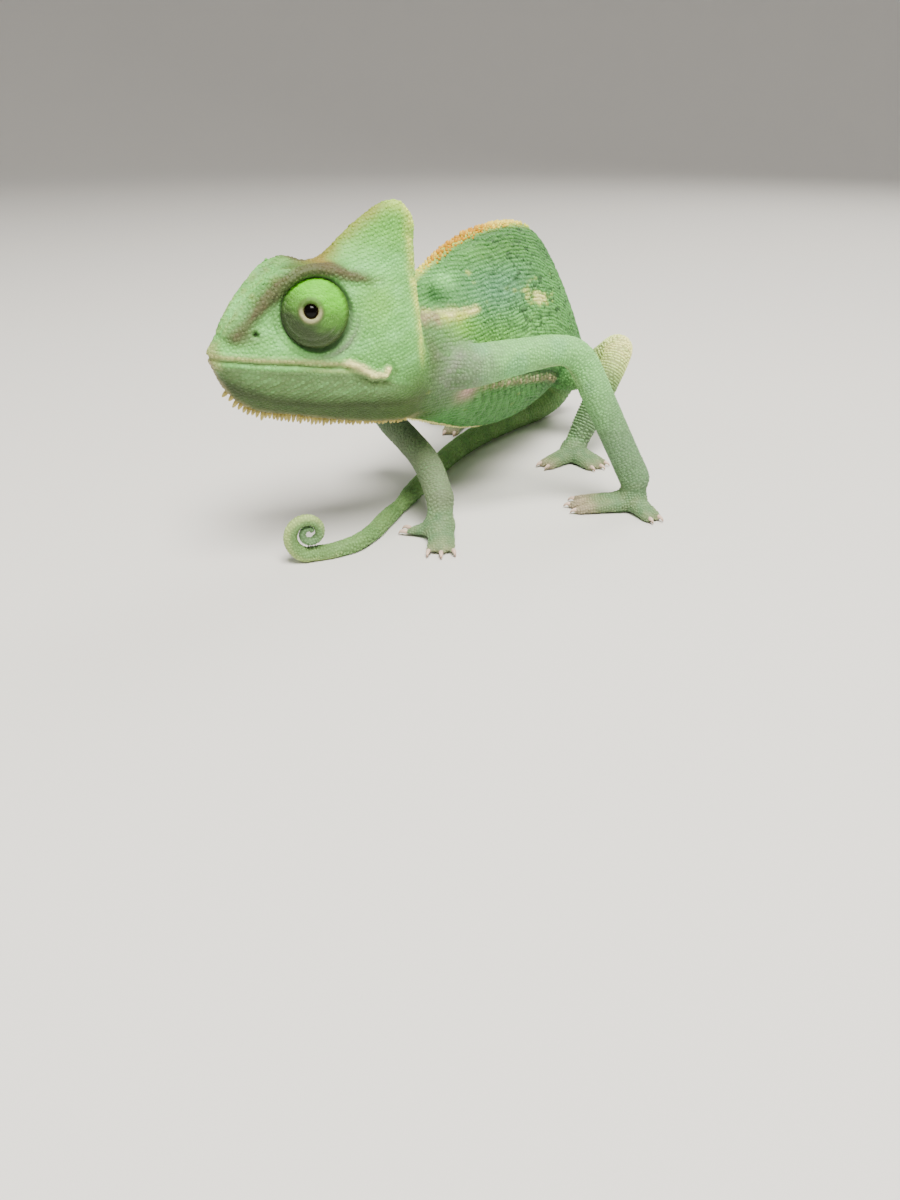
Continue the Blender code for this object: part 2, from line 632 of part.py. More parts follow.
def gular_cones(rear, front):
    """The fringe of cones along the keel under the head, between two distances ahead."""
    bm = bmesh.new()
    for share in np.linspace(0.0, 1.0, GULAR_CONES):
        ahead = GULAR_SPAN[0] + (GULAR_SPAN[1] - GULAR_SPAN[0]) * share
        if not rear < ahead < front:
            continue
        before, keel, after = (row_at(HEAD_ROWS, ahead + step)[0] for step in (-0.3, 0.0, 0.3))
        slope = (after - before) / 0.6
        down = head_point(0.8 * slope, 0.0, -1.0) - head_point(0.0, 0.0, 0.0)
        length = GULAR_LENGTH[0] + (GULAR_LENGTH[1] - GULAR_LENGTH[0]) * share
        add_cone(bm, head_point(ahead, 0.0, keel + CONE_SINK), down, GULAR_RADIUS, length)
    return bm


def crest_cones():
    """A row of small cones along the ridge of the back."""
    bm = bmesh.new()
    for y in np.linspace(*CREST_SPAN, CREST_CONES):
        before, back, after = (row_at(TRUNK_ROWS, y + step)[1] for step in (-0.5, 0.0, 0.5))
        up = (0.0, before - after, 1.0)
        add_cone(bm, (0.0, y, back - CONE_SINK), up, CREST_RADIUS, CREST_LENGTH)
    return bm


def claws(foot):
    """A claw at the end of each toe, level and just clear of the floor."""
    bm = bmesh.new()
    for path in toe_paths(foot):
        knuckle, tip = Vector(path[-2][:3]), Vector(path[-1][:3])
        go = Vector((tip.x - knuckle.x, tip.y - knuckle.y, 0.0)).normalized()
        base = tip + go * CLAW_SET + Vector((0.0, 0.0, CLAW_LIFT))
        add_cone(bm, base, go, CLAW_RADIUS, CLAW_LENGTH)
    return bm


# ---- the animal ----

def build():
    for thing in list(bpy.data.objects):
        bpy.data.objects.remove(thing)
    scene = bpy.context.scene.collection
    animal = bpy.data.collections.new("veiled_chameleon")
    cutters = bpy.data.collections.new("cutters")
    scene.children.link(animal)
    scene.children.link(cutters)

    body = fused_body(cutters)
    for tool in [floor_cutter(), socket_cutters(), *thin_cuts()]:
        cut_away(body, tool, cutters)
    pieces = name_pieces(islands(body.data), animal)
    bpy.data.objects.remove(body)

    join_by_union(pieces["lower_jaw"], gular_cones(JAW_CONES_TO, MOUTH_FRONT[0]), cutters)
    join_by_union(pieces["head"], gular_cones(HEAD_ROWS[-1][0], HEAD_CONES_FROM), cutters)
    join_by_union(pieces["trunk"], crest_cones(), cutters)
    for foot in FEET:
        join_by_union(pieces[foot + "_foot"], claws(foot), cutters)
    for side, word in ((1, "left"), (-1, "right")):
        pieces.update(eye(side, word, animal, cutters))
    pieces["tail_coil"] = coil(animal, cutters)

    for name, piece in pieces.items():
        piece.data.transform(Matrix.Translation(Vector((-CENTRE[0], -CENTRE[1], -FLOOR_SKIM)) * MM))
        piece.data.materials.clear()
        piece.data.materials.append(material(material_of(name)))
        piece.data.shade_flat()


def material_of(name):
    """The colour that a piece takes from its place on the animal."""
    for word, colour in (("turret", "turret"), ("eyeball", "pupil"), ("tail", "tail"),
                         ("trunk", "body"), ("neck", "body"), ("head", "head"),
                         ("casque", "head"), ("jaw", "head")):
        if word in name:
            return colour
    return "leg"


build()
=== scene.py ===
from itertools import product
from math import cos, pi, radians, sin

import bmesh
import bpy
import numpy as np
from mathutils import Matrix, Vector, noise
from mathutils.bvhtree import BVHTree


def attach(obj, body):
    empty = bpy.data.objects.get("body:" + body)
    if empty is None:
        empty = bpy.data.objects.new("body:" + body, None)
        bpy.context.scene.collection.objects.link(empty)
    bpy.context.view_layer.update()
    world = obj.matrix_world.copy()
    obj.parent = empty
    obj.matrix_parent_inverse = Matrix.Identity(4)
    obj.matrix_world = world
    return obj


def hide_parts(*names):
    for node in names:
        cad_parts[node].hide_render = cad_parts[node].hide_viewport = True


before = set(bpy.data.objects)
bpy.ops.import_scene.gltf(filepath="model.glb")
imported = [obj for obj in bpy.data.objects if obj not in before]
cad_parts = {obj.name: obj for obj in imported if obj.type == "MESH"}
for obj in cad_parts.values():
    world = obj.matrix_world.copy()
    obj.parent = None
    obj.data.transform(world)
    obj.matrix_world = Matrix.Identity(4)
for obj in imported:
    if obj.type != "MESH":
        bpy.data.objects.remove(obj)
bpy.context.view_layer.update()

# ---------------------------------------------------------------------------------------------
# Trunk and neck.  In life a narrow, high body, flattened from side to side, keeled along the
# back and the belly.  It is lofted through cross sections as a closed form, in millimetres in
# the animal's own frame: the floor under the shoulders is the origin and the trunk faces -Y.
MM = 0.001
MIDDLE = Vector((6.684, 17.807, 0.15))      # the part's origin in the animal's own frame
TRUNK_ROWS = (                              # along Y, belly, back, half width
    (-14, 23.5, 36, 4.6), (-8, 20.4, 39.6, 6.2), (-2, 18.2, 42, 7.2), (5, 15.6, 44.4, 8),
    (12, 13, 46.2, 8.5), (20, 10.8, 47.2, 8.8), (29, 9.4, 47.3, 8.8), (38, 9.1, 46.3, 8.4),
    (46, 10, 42.8, 7.6), (53, 11.8, 36.4, 6.5), (59, 13.2, 29.2, 5.3), (64, 13.8, 22.6, 4.1),
)
TRUNK_WIDEST = 0.4
TRUNK_FULLNESS = 0.72


def row_at(rows, x):
    """The columns of rows at x, on a smooth curve through them."""
    table = np.array(sorted(rows))
    at, values = table[:, 0], table[:, 1:]
    slopes = np.gradient(values, at, axis=0)
    i = int(np.clip(np.searchsorted(at, x) - 1, 0, len(at) - 2))
    span = at[i + 1] - at[i]
    t = (x - at[i]) / span
    start = (1 + 2 * t) * (1 - t) ** 2 * values[i] + t * (1 - t) ** 2 * span * slopes[i]
    return start + t * t * (3 - 2 * t) * values[i + 1] + t * t * (t - 1) * span * slopes[i + 1]


def loft(bm, rings):
    """A closed form over rings of points, each bridged to the next, with filled ends."""
    loops = []
    for ring in rings:
        verts = [bm.verts.new(point) for point in ring]
        loops.append([bm.edges.new(pair) for pair in zip(verts, verts[1:] + verts[:1])])
    for near, far in zip(loops, loops[1:]):
        bmesh.ops.bridge_loops(bm, edges=near + far)
    for end in (loops[0], loops[-1]):
        bmesh.ops.edgeloop_fill(bm, edges=end)


flesh = bmesh.new()
trunk_rings = []
for y in np.arange(TRUNK_ROWS[0][0], TRUNK_ROWS[-1][0] + 0.01, 1.5):
    belly, back, half_width = row_at(TRUNK_ROWS, y)
    side = []
    for t in np.linspace(0.02, 0.98, 17):
        level = (1 - cos(pi * t)) / 2
        bulge = sin(pi * level ** (np.log(0.5) / np.log(TRUNK_WIDEST)))
        side.append((half_width * bulge ** TRUNK_FULLNESS, y, belly + (back - belly) * level))
    trunk_rings.append(side + [(-x, y_, z) for x, y_, z in reversed(side)])
loft(flesh, trunk_rings)

# ---------------------------------------------------------------------------------------------
# Head and casque.  A wedge of a skull under tight skin: a blunt snout, brows over the eyes and,
# behind them, the casque, a thin bony blade that stands on the back of the skull.  Lofted from
# the casque's rear edge to the snout in the head's own frame, which is turned to its right.
HEAD_ROWS = (          # ahead, keel, jaw w z, lip w z, cheek w z, brow w z, crown
    (28.4, 33.2, 0.5, 33.4, 0.8, 33.9, 0.8, 34.4, 0.5, 34.9, 35),
    (27.5, 30.2, 1.7, 31.6, 2.3, 33.7, 2, 34.9, 1.4, 35.8, 35.8),
    (25.5, 27, 2.5, 30.2, 3.5, 33.4, 3, 36, 2.3, 38.8, 38.5),
    (22.5, 24.8, 3.3, 28.8, 4.6, 32.9, 3.8, 37.2, 3.2, 42.3, 41.5),
    (19, 23.8, 3.9, 28, 5.5, 32.3, 4.1, 38, 4.3, 45.5, 43.9),
    (15, 22.9, 4.6, 27.4, 6.2, 31.8, 4.4, 38, 5, 45.7, 44.9),
    (11, 21.9, 5.2, 26.8, 6.7, 31.2, 4.9, 38, 5.2, 45.4, 46.2),
    (7, 21, 5.6, 26.4, 7.1, 30.7, 6.2, 38, 4.8, 44.8, 49.7),
    (3, 20.3, 5.9, 26, 7.1, 30.1, 6.7, 37.5, 3.9, 45, 52.4),
    (-1, 19.9, 5.8, 25.6, 6.8, 29.7, 5.9, 36.8, 2.7, 44.8, 54.1),
    (-3.5, 19.8, 5.4, 25.2, 6, 29.3, 4.6, 36.5, 1.8, 44.4, 53.6),
    (-5, 20.5, 4.2, 25.4, 4.5, 29.2, 3, 36, 1.1, 44, 51.6),
)
HEAD_TURN = radians(33)
NECK_PIVOT = (0, -10)
FORWARD = Vector((-sin(HEAD_TURN), -cos(HEAD_TURN), 0))
LEFTWARD = Vector((cos(HEAD_TURN), -sin(HEAD_TURN), 0))


def head_point(ahead, out, height):
    """A place on the head: ahead of the neck's pivot, out to the animal's left, height."""
    return Vector((*NECK_PIVOT, height)) + FORWARD * ahead + LEFTWARD * out


def smooth_path(points, per_span):
    """Catmull-Rom points through a short list of points, with any extra columns blended too."""
    p = np.array(points, dtype=float)
    p = np.vstack([2 * p[0] - p[1], p, 2 * p[-1] - p[-2]])
    path = []
    for a, b, c, d in zip(p, p[1:], p[2:], p[3:]):
        for t in np.arange(per_span) / per_span:
            path.append(0.5 * (2 * b + (c - a) * t + (2 * a - 5 * b + 4 * c - d) * t ** 2
                               + (3 * b - a - 3 * c + d) * t ** 3))
    path.append(p[-2])
    return np.array(path)


head_rings = []
for ahead in np.append(np.arange(HEAD_ROWS[-1][0], HEAD_ROWS[0][0], 0.7), HEAD_ROWS[0][0]):
    row = row_at(HEAD_ROWS, ahead)
    keel, jaw_w, jaw_z, lip_w, lip_z, cheek_w, cheek_z, brow_w, brow_z, crown = row
    risen = float(np.clip((crown - brow_z) / 4, 0, 1))
    ridge_w = 0.55 * brow_w * (1 - risen) + min(0.9, brow_w) * risen
    ridge_z = (0.85 * crown + 0.15 * brow_z) * (1 - risen) + (crown - 1) * risen
    corners = ((0.05, keel), (jaw_w, jaw_z), (lip_w, lip_z), (cheek_w, cheek_z),
               (brow_w, brow_z), (ridge_w, ridge_z), (0.05, crown))
    side = [(max(out, 0.05), height) for out, height in smooth_path(corners, 4)]
    head_rings.append([head_point(ahead, out, height) for out, height in side]
                      + [head_point(ahead, -out, height) for out, height in reversed(side)])
loft(flesh, head_rings)

# ---------------------------------------------------------------------------------------------
# Legs and feet.  Thin legs that sprawl from the shoulder and the hip, each ending in a foot of
# two bundles of toes bound in skin, set against each other like tongs.  Each leg is a tapered
# tube along its bones, and each toe is a tube of its own with a web joining its bundle.
LEFT_ARM = (           # x, y, z, radius, from the root of each limb to its wrist or ankle
    (4.5, 1, 27.5, 4.2), (8.5, 2, 27.6, 3.7), (14.5, 8.5, 28.6, 3), (19.6, 14.8, 29, 2.6),
    (22.6, 17.2, 27.2, 2.7), (26.2, 18.2, 20.5, 2.75), (30.6, 19.4, 12, 2.7), (33.6, 20.2, 6.2, 2.75))
RIGHT_ARM = ((-5, 2, 26, 4), (-10.2, 4.4, 24, 3.3), (-14.4, 7.4, 18, 2.8),
             (-12.8, 9.6, 12.6, 2.6), (-6.4, 6, 10.8, 2.5), (1.6, -0.4, 9.6, 2.5), (7.8, -6.6, 6.2, 2.6))
LEFT_LEG = ((3, 50, 16.4, 4.2), (7, 51.6, 14.8, 3.6), (12, 54, 17.2, 3.1),
            (15.6, 54.4, 20.6, 2.9), (17, 51.4, 19.8, 2.8), (16, 46.2, 13.4, 2.7), (14.4, 41.6, 6.4, 2.5))
RIGHT_LEG = ((-3, 51, 17, 4.2), (-7.2, 49, 16.4, 3.6), (-13, 44.8, 19.2, 3),
             (-17.6, 41.8, 21.6, 2.8), (-20.4, 43.4, 18.4, 2.65), (-20.2, 46.6, 12.2, 2.6),
             (-18.6, 49.6, 6.4, 2.5))
FEET = {               # palm x y, then each bundle's heading, number of toes and length
    "left_fore": ((33.6, 20), (-63, 3, 11), (58, 2, 6.4)),
    "right_fore": ((9, -8.6), (32, 3, 7.4), (-76, 2, 5.9)),
    "left_hind": ((13.6, 39), (-22, 2, 8), (72, 3, 7.2)),
    "right_hind": ((-18.6, 47.6), (12, 2, 8), (-84, 3, 7.2)),
}
LIMBS = {"left_fore": LEFT_ARM, "right_fore": RIGHT_ARM, "left_hind": LEFT_LEG, "right_hind": RIGHT_LEG}
TOE_ROWS = ((0, 2.2, 1.5), (0.3, 1.55, 1.35), (0.55, 1.4, 1.155), (1, 0.8, 0.861))
WEB_ROWS = ((0, 2.2, 2.2), (0.3, 1.7, 1.75), (0.55, 1.3, 1.25))


def add_tube(bm, path, sides=16):
    """A tapered tube along rows of x, y, z, radius, with rounded ends."""
    path = np.array(path, dtype=float)
    for end, inner in ((0, 1), (-1, -2)):
        back = path[end, :3] - path[inner, :3]
        back *= path[end, 3] / np.linalg.norm(back)
        caps = [(*(path[end, :3] + back * sin(a)), path[end, 3] * cos(a)) for a in (0.5, 1, 1.4)]
        path = np.vstack([caps[::-1], path]) if end == 0 else np.vstack([path, caps])
    rings = []
    across = None
    for i, (x, y, z, radius) in enumerate(path):
        go = Vector(path[min(i + 1, len(path) - 1), :3] - path[max(i - 1, 0), :3]).normalized()
        across = across or go.orthogonal()
        across = (across - go * across.dot(go)).normalized()
        up = go.cross(across)
        rings.append([Vector((x, y, z)) + (across * cos(a) + up * sin(a)) * radius
                      for a in np.arange(sides) * 2 * pi / sides])
    loft(bm, rings)


def toe_paths(foot):
    """Rows of x, y, z, radius for each toe of a foot, bundle by bundle."""
    (palm_x, palm_y), *bundles = FEET[foot]
    paths = []
    for heading, toes, length in bundles:
        for k in range(toes):
            lean = k - (toes - 1) / 2
            turn = radians(heading) + lean * radians(11)
            reach = length * (1 - 0.06 * abs(lean))
            go = np.array((sin(turn), -cos(turn)))
            start = np.array((palm_x + cos(turn) * lean * 0.75, palm_y + sin(turn) * lean * 0.75))
            paths.append([(*(start + go * reach * share), z, radius) for share, z, radius in TOE_ROWS])
    return paths


for limb in (LEFT_ARM, RIGHT_ARM, LEFT_LEG, RIGHT_LEG):
    add_tube(flesh, smooth_path(limb, 5))
for foot, ((palm_x, palm_y), *bundles) in FEET.items():
    palm = Matrix.Translation((palm_x, palm_y, 2.4)) @ Matrix.Diagonal((1.1, 1.1, 1.05, 1))
    bmesh.ops.create_uvsphere(flesh, u_segments=20, v_segments=12, radius=2.5, matrix=palm)
    add_tube(flesh, [LIMBS[foot][-1][:3] + (2.3,), (palm_x, palm_y, 2.4, 2.3)])
    for path in toe_paths(foot):
        add_tube(flesh, smooth_path(path, 3))
    for heading, toes, length in bundles:
        turn = radians(heading)
        add_tube(flesh, [(palm_x + sin(turn) * length * share, palm_y - cos(turn) * length * share, z, radius)
                         for share, z, radius in WEB_ROWS])

# ---------------------------------------------------------------------------------------------
# Tail.  A long grasping tail that leaves the rump, comes down to the floor and runs forward
# along the animal's right side to an upright coil.  One tapered tube as far as the coil, and
# the coil as a finer tube that is welded on, because its turns lie close together.
TAIL_PATH = ((0, 58, 19.5, 4.6), (-0.2, 63.5, 16.2, 4.1), (-1.2, 66.4, 10.6, 3.6),
             (-3, 65, 5.4, 3.2), (-5.4, 59.5, 2.9, 2.9), (-7.4, 50, 2.45, 2.6),
             (-8.6, 38, 2.15, 2.3), (-8.2, 25, 1.9, 2.05), (-6, 12, 1.65, 1.8),
             (-3.8, 0.5, 1.5, 1.65), (-2.2, -8.5, 1.38, 1.5), (-1, -14.5, 1.3, 1.42),
             (-1, -20, 1.22, 1.36), (-2.9, -24.3, 1.18, 1.32))
COIL_CENTRE = (-5, -27, 5.05)
COIL_HEADING = radians(-40)
COIL_TURNS = 1.62
COIL_RADII = (3.95, 0.75)
COIL_THICKNESS = (1.3, 0.42)

coil_go = Vector((sin(COIL_HEADING), -cos(COIL_HEADING), 0))
coil_path = [tuple(row) for row in smooth_path(TAIL_PATH, 5)[-8:]]
for share in np.linspace(0.02, 1, 90):
    radius = COIL_RADII[0] * (COIL_RADII[1] / COIL_RADII[0]) ** share
    angle = 2 * pi * COIL_TURNS * share
    place = Vector(COIL_CENTRE) + coil_go * sin(angle) * radius
    thickness = COIL_THICKNESS[0] * (COIL_THICKNESS[1] / COIL_THICKNESS[0]) ** share
    coil_path.append((place.x, place.y, place.z - cos(angle) * radius, thickness))
add_tube(flesh, smooth_path(TAIL_PATH, 5))

# ---------------------------------------------------------------------------------------------
# Skin.  One thin, dry skin over the whole animal, from the lips to the tip of the tail.  The
# forms above are fused and relaxed, the head is given a finer grain, and the folds, lips,
# nostrils and lids are then pushed and pulled into it.  Its scales are laid on afterwards.
GRAIN = 0.48                              # side of the cells that the forms are fused in
RELAXING, SLACKENING = 6, 45              # rounds of smoothing: all over, and at the jaw's corner
TUBES = {"left_arm": LEFT_ARM, "right_arm": RIGHT_ARM, "left_leg": LEFT_LEG, "right_leg": RIGHT_LEG,
         "tail": TAIL_PATH}
EYE_CENTRE = (13, 3.6, 39.6)              # ahead, out, height
EYE_RADIUS = 5.15
SOCKET = 5.4
MOUTH = ((28.4, 33.8), (25, 33.5), (21.9, 33.1), (16, 32.5), (11.8, 31.9), (8, 31.5), (5.5, 30.7))
FOLD = ((10.6, 32.5), (9, 32.2), (7.2, 31.3), (5.2, 30.2), (3.4, 29.9), (2.9, 30.6))
BROW = ((25, 37), (23.3, 38.7), (20.8, 41.2), (18, 43.7), (15, 45.2), (12.4, 45.8), (9.8, 45.5),
        (7.6, 44.6), (4.5, 43.8), (2.4, 43.4))
NOSTRIL = (22, 37.2)
THROAT = (16.5, 18.5)                     # heights between which the head passes into the chest
FLANK_FOLD = ((6.5, 22.6), (16, 21.4), (27.7, 19.4), (38, 17.2), (45, 14.8))   # along Y, height


def fresh_object(name, bm):
    mesh = bpy.data.meshes.new(name)
    bm.to_mesh(mesh)
    bm.free()
    thing = bpy.data.objects.new(name, mesh)
    bpy.context.scene.collection.objects.link(thing)
    return thing


def settle(thing):
    """Apply the object's modifiers to its mesh."""
    bpy.context.view_layer.update()
    graph = bpy.context.evaluated_depsgraph_get()
    thing.data = bpy.data.meshes.new_from_object(thing.evaluated_get(graph))
    thing.modifiers.clear()


def positions(mesh):
    places = np.empty(len(mesh.vertices) * 3)
    mesh.vertices.foreach_get("co", places)
    return places.reshape(-1, 3)


def normals(mesh):
    values = np.empty(len(mesh.vertices) * 3, dtype=np.float32)
    mesh.vertex_normals.foreach_get("vector", values)
    return values.reshape(-1, 3).astype(float)


def put_positions(mesh, places):
    mesh.vertices.foreach_set("co", np.ascontiguousarray(places).ravel())
    mesh.update()


def lengths_of(vectors):
    return np.linalg.norm(vectors, axis=1)


def bump_at(distance, width):
    """A rounded rise that is 1 at no distance and gone after about twice the width."""
    return np.exp(-(distance / width) ** 2)


def spot(u, v, middle, size=(1, 1), width=1):
    """1 at the middle of an oval in (u, v), falling to 0 outside about twice its size."""
    return bump_at(np.hypot((u - middle[0]) / size[0], (v - middle[1]) / size[1]), width)


def ripple(value, period, shift=0):
    return np.sin(value * 2 * pi / period + shift)


def knobs(y):
    """The swelling and sinking of the fold that runs along the flank."""
    return ripple(y, 1.9, 1.5 * np.sin(y * 0.9))


def column(rows, at, k):
    """Column k of the rows of a body, taken at many places along it."""
    table = np.array(sorted(rows))
    return np.interp(at, table[:, 0], table[:, k])


def ease(value, low, high):
    t = np.clip((value - low) / (high - low), 0, 1)
    return t * t * (3 - 2 * t)


def from_line(u, v, line):
    """Distance of (u, v) from a bent line, signed so that above it is positive, and how far along."""
    best, side, along = np.full(len(u), 1e9), np.ones(len(u)), np.zeros(len(u))
    run = 0
    for (au, av), (bu, bv) in zip(line, line[1:]):
        du, dv = bu - au, bv - av
        length = (du * du + dv * dv) ** 0.5
        t = np.clip(((u - au) * du + (v - av) * dv) / length ** 2, 0, 1)
        gap_u, gap_v = u - au - t * du, v - av - t * dv
        gap = np.hypot(gap_u, gap_v)
        closer = gap < best
        best = np.where(closer, gap, best)
        side = np.where(closer, np.where(gap_v >= 0, 1, -1), side)
        along = np.where(closer, run + t * length, along)
        run += length
    return best, best * side, along / run


def head_frame(places):
    """Ahead, out from the midline on either side, and height of places on the head."""
    x, y, z = places[:, 0] - NECK_PIVOT[0], places[:, 1] - NECK_PIVOT[1], places[:, 2]
    return x * FORWARD.x + y * FORWARD.y, x * LEFTWARD.x + y * LEFTWARD.y, z


def head_gaps(ahead, height):
    """Distances on the head's side from the middle of the eye and from the nostril."""
    return (np.hypot(ahead - EYE_CENTRE[0], height - EYE_CENTRE[2]),
            np.hypot(ahead - NOSTRIL[0], height - NOSTRIL[1]))


def from_tube(places, path, per_span=3):
    """For places near a tube: how far past its side, how far along, and the tube's direction."""
    rows = smooth_path(path, per_span)
    steps = lengths_of(np.diff(rows[:, :3], axis=0))
    lengths = np.concatenate([[0], np.cumsum(steps)])
    past, along, heading = np.full(len(places), 1e9), np.zeros(len(places)), np.zeros((len(places), 3))
    for i in range(len(rows) - 1):
        a, run = rows[i, :3], rows[i + 1, :3] - rows[i, :3]
        t = np.clip(((places - a) @ run) / (run @ run), 0, 1)
        gap = lengths_of(places - a - t[:, None] * run)
        gap -= rows[i, 3] + t * (rows[i + 1, 3] - rows[i, 3])
        closer = gap < past
        past = np.where(closer, gap, past)
        along = np.where(closer, lengths[i] + t * steps[i], along)
        heading[closer] = run / steps[i]
    return past, along, heading


def roughness(places, size, seed=0):
    """Smooth noise from -1 to 1 with features of about the given size."""
    return np.array([noise.noise(Vector(p) / size + Vector((seed, seed, seed))) for p in places])


def crease(places):
    """1 in the long, wavy creases that run along the flanks, falling to 0 beside them."""
    x, y, z = places.T
    droop = 0.012 * np.maximum(y - 25, 0) ** 2
    wander = roughness(np.column_stack([x * 0.3, y * 0.22, (z + droop) * 1.1]), 1.5, 31)
    return bump_at(wander, 0.07) + 0.8 * bump_at(wander - 0.3, 0.05) + 0.8 * bump_at(wander + 0.3, 0.05)


skin = fresh_object("skin", flesh)
remesh = skin.modifiers.new("fuse", "REMESH")
remesh.mode = "VOXEL"
remesh.voxel_size = GRAIN
relax = skin.modifiers.new("relax", "SMOOTH")
relax.factor = 0.5
relax.iterations = RELAXING
settle(skin)

# the coil is welded to the fused tail
coil = bmesh.new()
add_tube(coil, coil_path)
coil = fresh_object("coil", coil)
weld = skin.modifiers.new("weld", "BOOLEAN")
weld.operation = "UNION"
weld.solver = "EXACT"
weld.object = coil
settle(skin)
bpy.data.objects.remove(coil)

# a finer grain for the head, whose folds are the smallest
fine = bmesh.new()
fine.from_mesh(skin.data)
fine.verts.ensure_lookup_table()
places = positions(skin.data)
ahead, out, height = head_frame(places)
from_eye, from_nostril = head_gaps(ahead, height)
to_feature = np.minimum.reduce([from_line(ahead, height, line)[0] for line in (MOUTH, FOLD, BROW)]
                               + [abs(from_eye - SOCKET), from_nostril])
wanted = (to_feature < 1.5) & (ahead > -1) & (height > 17) & (abs(out) < 9.5)
head_edges = [edge for edge in fine.edges if wanted[edge.verts[0].index] and wanted[edge.verts[1].index]]
bmesh.ops.subdivide_edges(fine, edges=head_edges, cuts=1, use_grid_fill=True)
bmesh.ops.triangulate(fine, faces=[face for face in fine.faces if len(face.verts) > 4])
fine.to_mesh(skin.data)
fine.free()

# the corner of the jaw runs softly into the throat and the neck
places = positions(skin.data)
ahead, out, height = head_frame(places)
slack = bump_at(ahead + 3.6, 2.6) * ease(height, 36, 31) * ease(np.abs(places[:, 0]), 1, 3)
ends = np.array([edge.vertices[:] for edge in skin.data.edges])
ends = ends[slack[ends].max(axis=1) > 0.02]
shares = np.maximum(np.bincount(ends.ravel(), minlength=len(places)), 1)
for rounds in range(SLACKENING):
    for k in range(3):
        total = np.bincount(ends[:, 0], places[ends[:, 1], k], len(places))
        total += np.bincount(ends[:, 1], places[ends[:, 0], k], len(places))
        places[:, k] += 0.6 * np.where(slack > 0.02, slack, 0) * (total / shares - places[:, k])
put_positions(skin.data, places)

places, outward = positions(skin.data), normals(skin.data)
ahead, out, height = head_frame(places)
on_head = ease(ahead, -5.6, -4.2) * ease(height, *THROAT)
lift = np.zeros(len(places))

# lips: a groove between two soft rolls, ending in a thick fold at the corner of the mouth
gap, above, along = from_line(ahead, height, MOUTH)
mouth = on_head * ease(np.abs(out), 0, 0.3)
lift += mouth * (-0.22 * bump_at(gap, 0.24) * (1 - ease(along, 0.86, 1)))
lift += mouth * 0.22 * bump_at(above - 0.65, 0.45)
lift += mouth * 0.2 * bump_at(above + 0.75, 0.5)
gap, above, along = from_line(ahead, height, FOLD)
lift += on_head * (0.5 * bump_at(gap, 0.46) - 0.24 * bump_at(gap - 1.1, 0.35)) * ease(along, 0, 0.3)
lift += on_head * 0.2 * spot(ahead, height, FOLD[-1], width=0.7)

# nostrils, brows and the ring of skin that each eye turret turns in
from_eye, from_nostril = head_gaps(ahead, height)
lift += on_head * (0.16 * bump_at(from_nostril - 0.75, 0.3) - 0.75 * bump_at(from_nostril, 0.42))
gap, above, along = from_line(ahead, height, BROW)
lift += on_head * (0.4 * bump_at(gap, 0.7) - 0.16 * bump_at(above + 1.5, 0.6)) * (1 - ease(along, 0.85, 1))
turn = np.arctan2(height - EYE_CENTRE[2], ahead - EYE_CENTRE[0])
beside_eye = on_head * ease(np.abs(out), 1.5, 3)
lift += beside_eye * (-0.55 * (1 - ease(from_eye, 4.7, 5.5)) + 0.26 * bump_at(from_eye - 5.9, 0.45))
lift += beside_eye * 0.18 * bump_at(from_eye - 7.1, 0.35) * ease(-np.sin(turn), -0.2, 0.6)
lift -= on_head * 0.6 * spot(ahead, height, (11.5, 45.6), width=2.2) * ease(-out, 1, 3)

# the casque's sides are lightly hollow under its edge
crown = np.array([row_at(HEAD_ROWS, a)[9] for a in np.clip(ahead, -5, 28.4)])
lift += on_head * ease(crown - 44, 2, 6) * (-0.22 * bump_at(crown - height - 4.2, 1.8))

# flanks: long shallow wrinkles, and the row of folds under the arm
x, y, z = places.T
limb_past = np.minimum.reduce([from_tube(places, path)[0] for path in TUBES.values()])
on_trunk = (1 - on_head) * ease(limb_past, 0.5, 1.8) * ease(z, 8, 10)
lift += on_trunk * (0.08 * roughness(places * (0.35, 0.16, 0.9), 1) - 0.16 * crease(places))
gap, above, along = from_line(y, z, FLANK_FOLD)
fold = 0.55 * (0.55 + 0.45 * knobs(y)) * bump_at(gap, 0.75)
fold = fold - 0.22 * bump_at(above - 1.3, 0.5) - 0.22 * bump_at(above + 1.3, 0.5)
lift += on_trunk * ease(np.abs(x), 4, 6) * ease(y, 7, 14) * fold
lift -= on_trunk * 1.1 * spot(y, z, (0.3, 38.8), width=2.2) * ease(np.abs(x), 2, 3)

put_positions(skin.data, places + outward * lift[:, None])
places = positions(skin.data)
far_brow = on_head * ease(-out, 0.5, 2.5)
places[:, 2] += far_brow * 0.6 * spot(ahead, height, (15.4, 45.8), width=2.2)
places[:, 2] -= far_brow * 0.4 * spot(ahead, height, (20.2, 44.5), width=2)
places[:, 2] = np.maximum(places[:, 2], MIDDLE.z + 0.02)
put_positions(skin.data, places)

# ---------------------------------------------------------------------------------------------
# Colouring of the skin.  The green comes from the skin itself and every scale takes the colour
# of the skin that it grows from, so both are tinted by the same function of place: a mint head,
# brown brow bands, pale lips, a cream and yellow streak, grey shoulders and rosy feet, and
# painted light: painted shade in the creases, grooves and a hollow of the flanks, under the jaw,
# round the eye turrets and in the nostrils, with painted highlights on the snout and on the fold
# behind the mouth.


def tint(red, green, blue):
    """A display colour from 0 to 255 as linear light."""
    return np.array([(c / 255) ** 2.2 for c in (red, green, blue)])


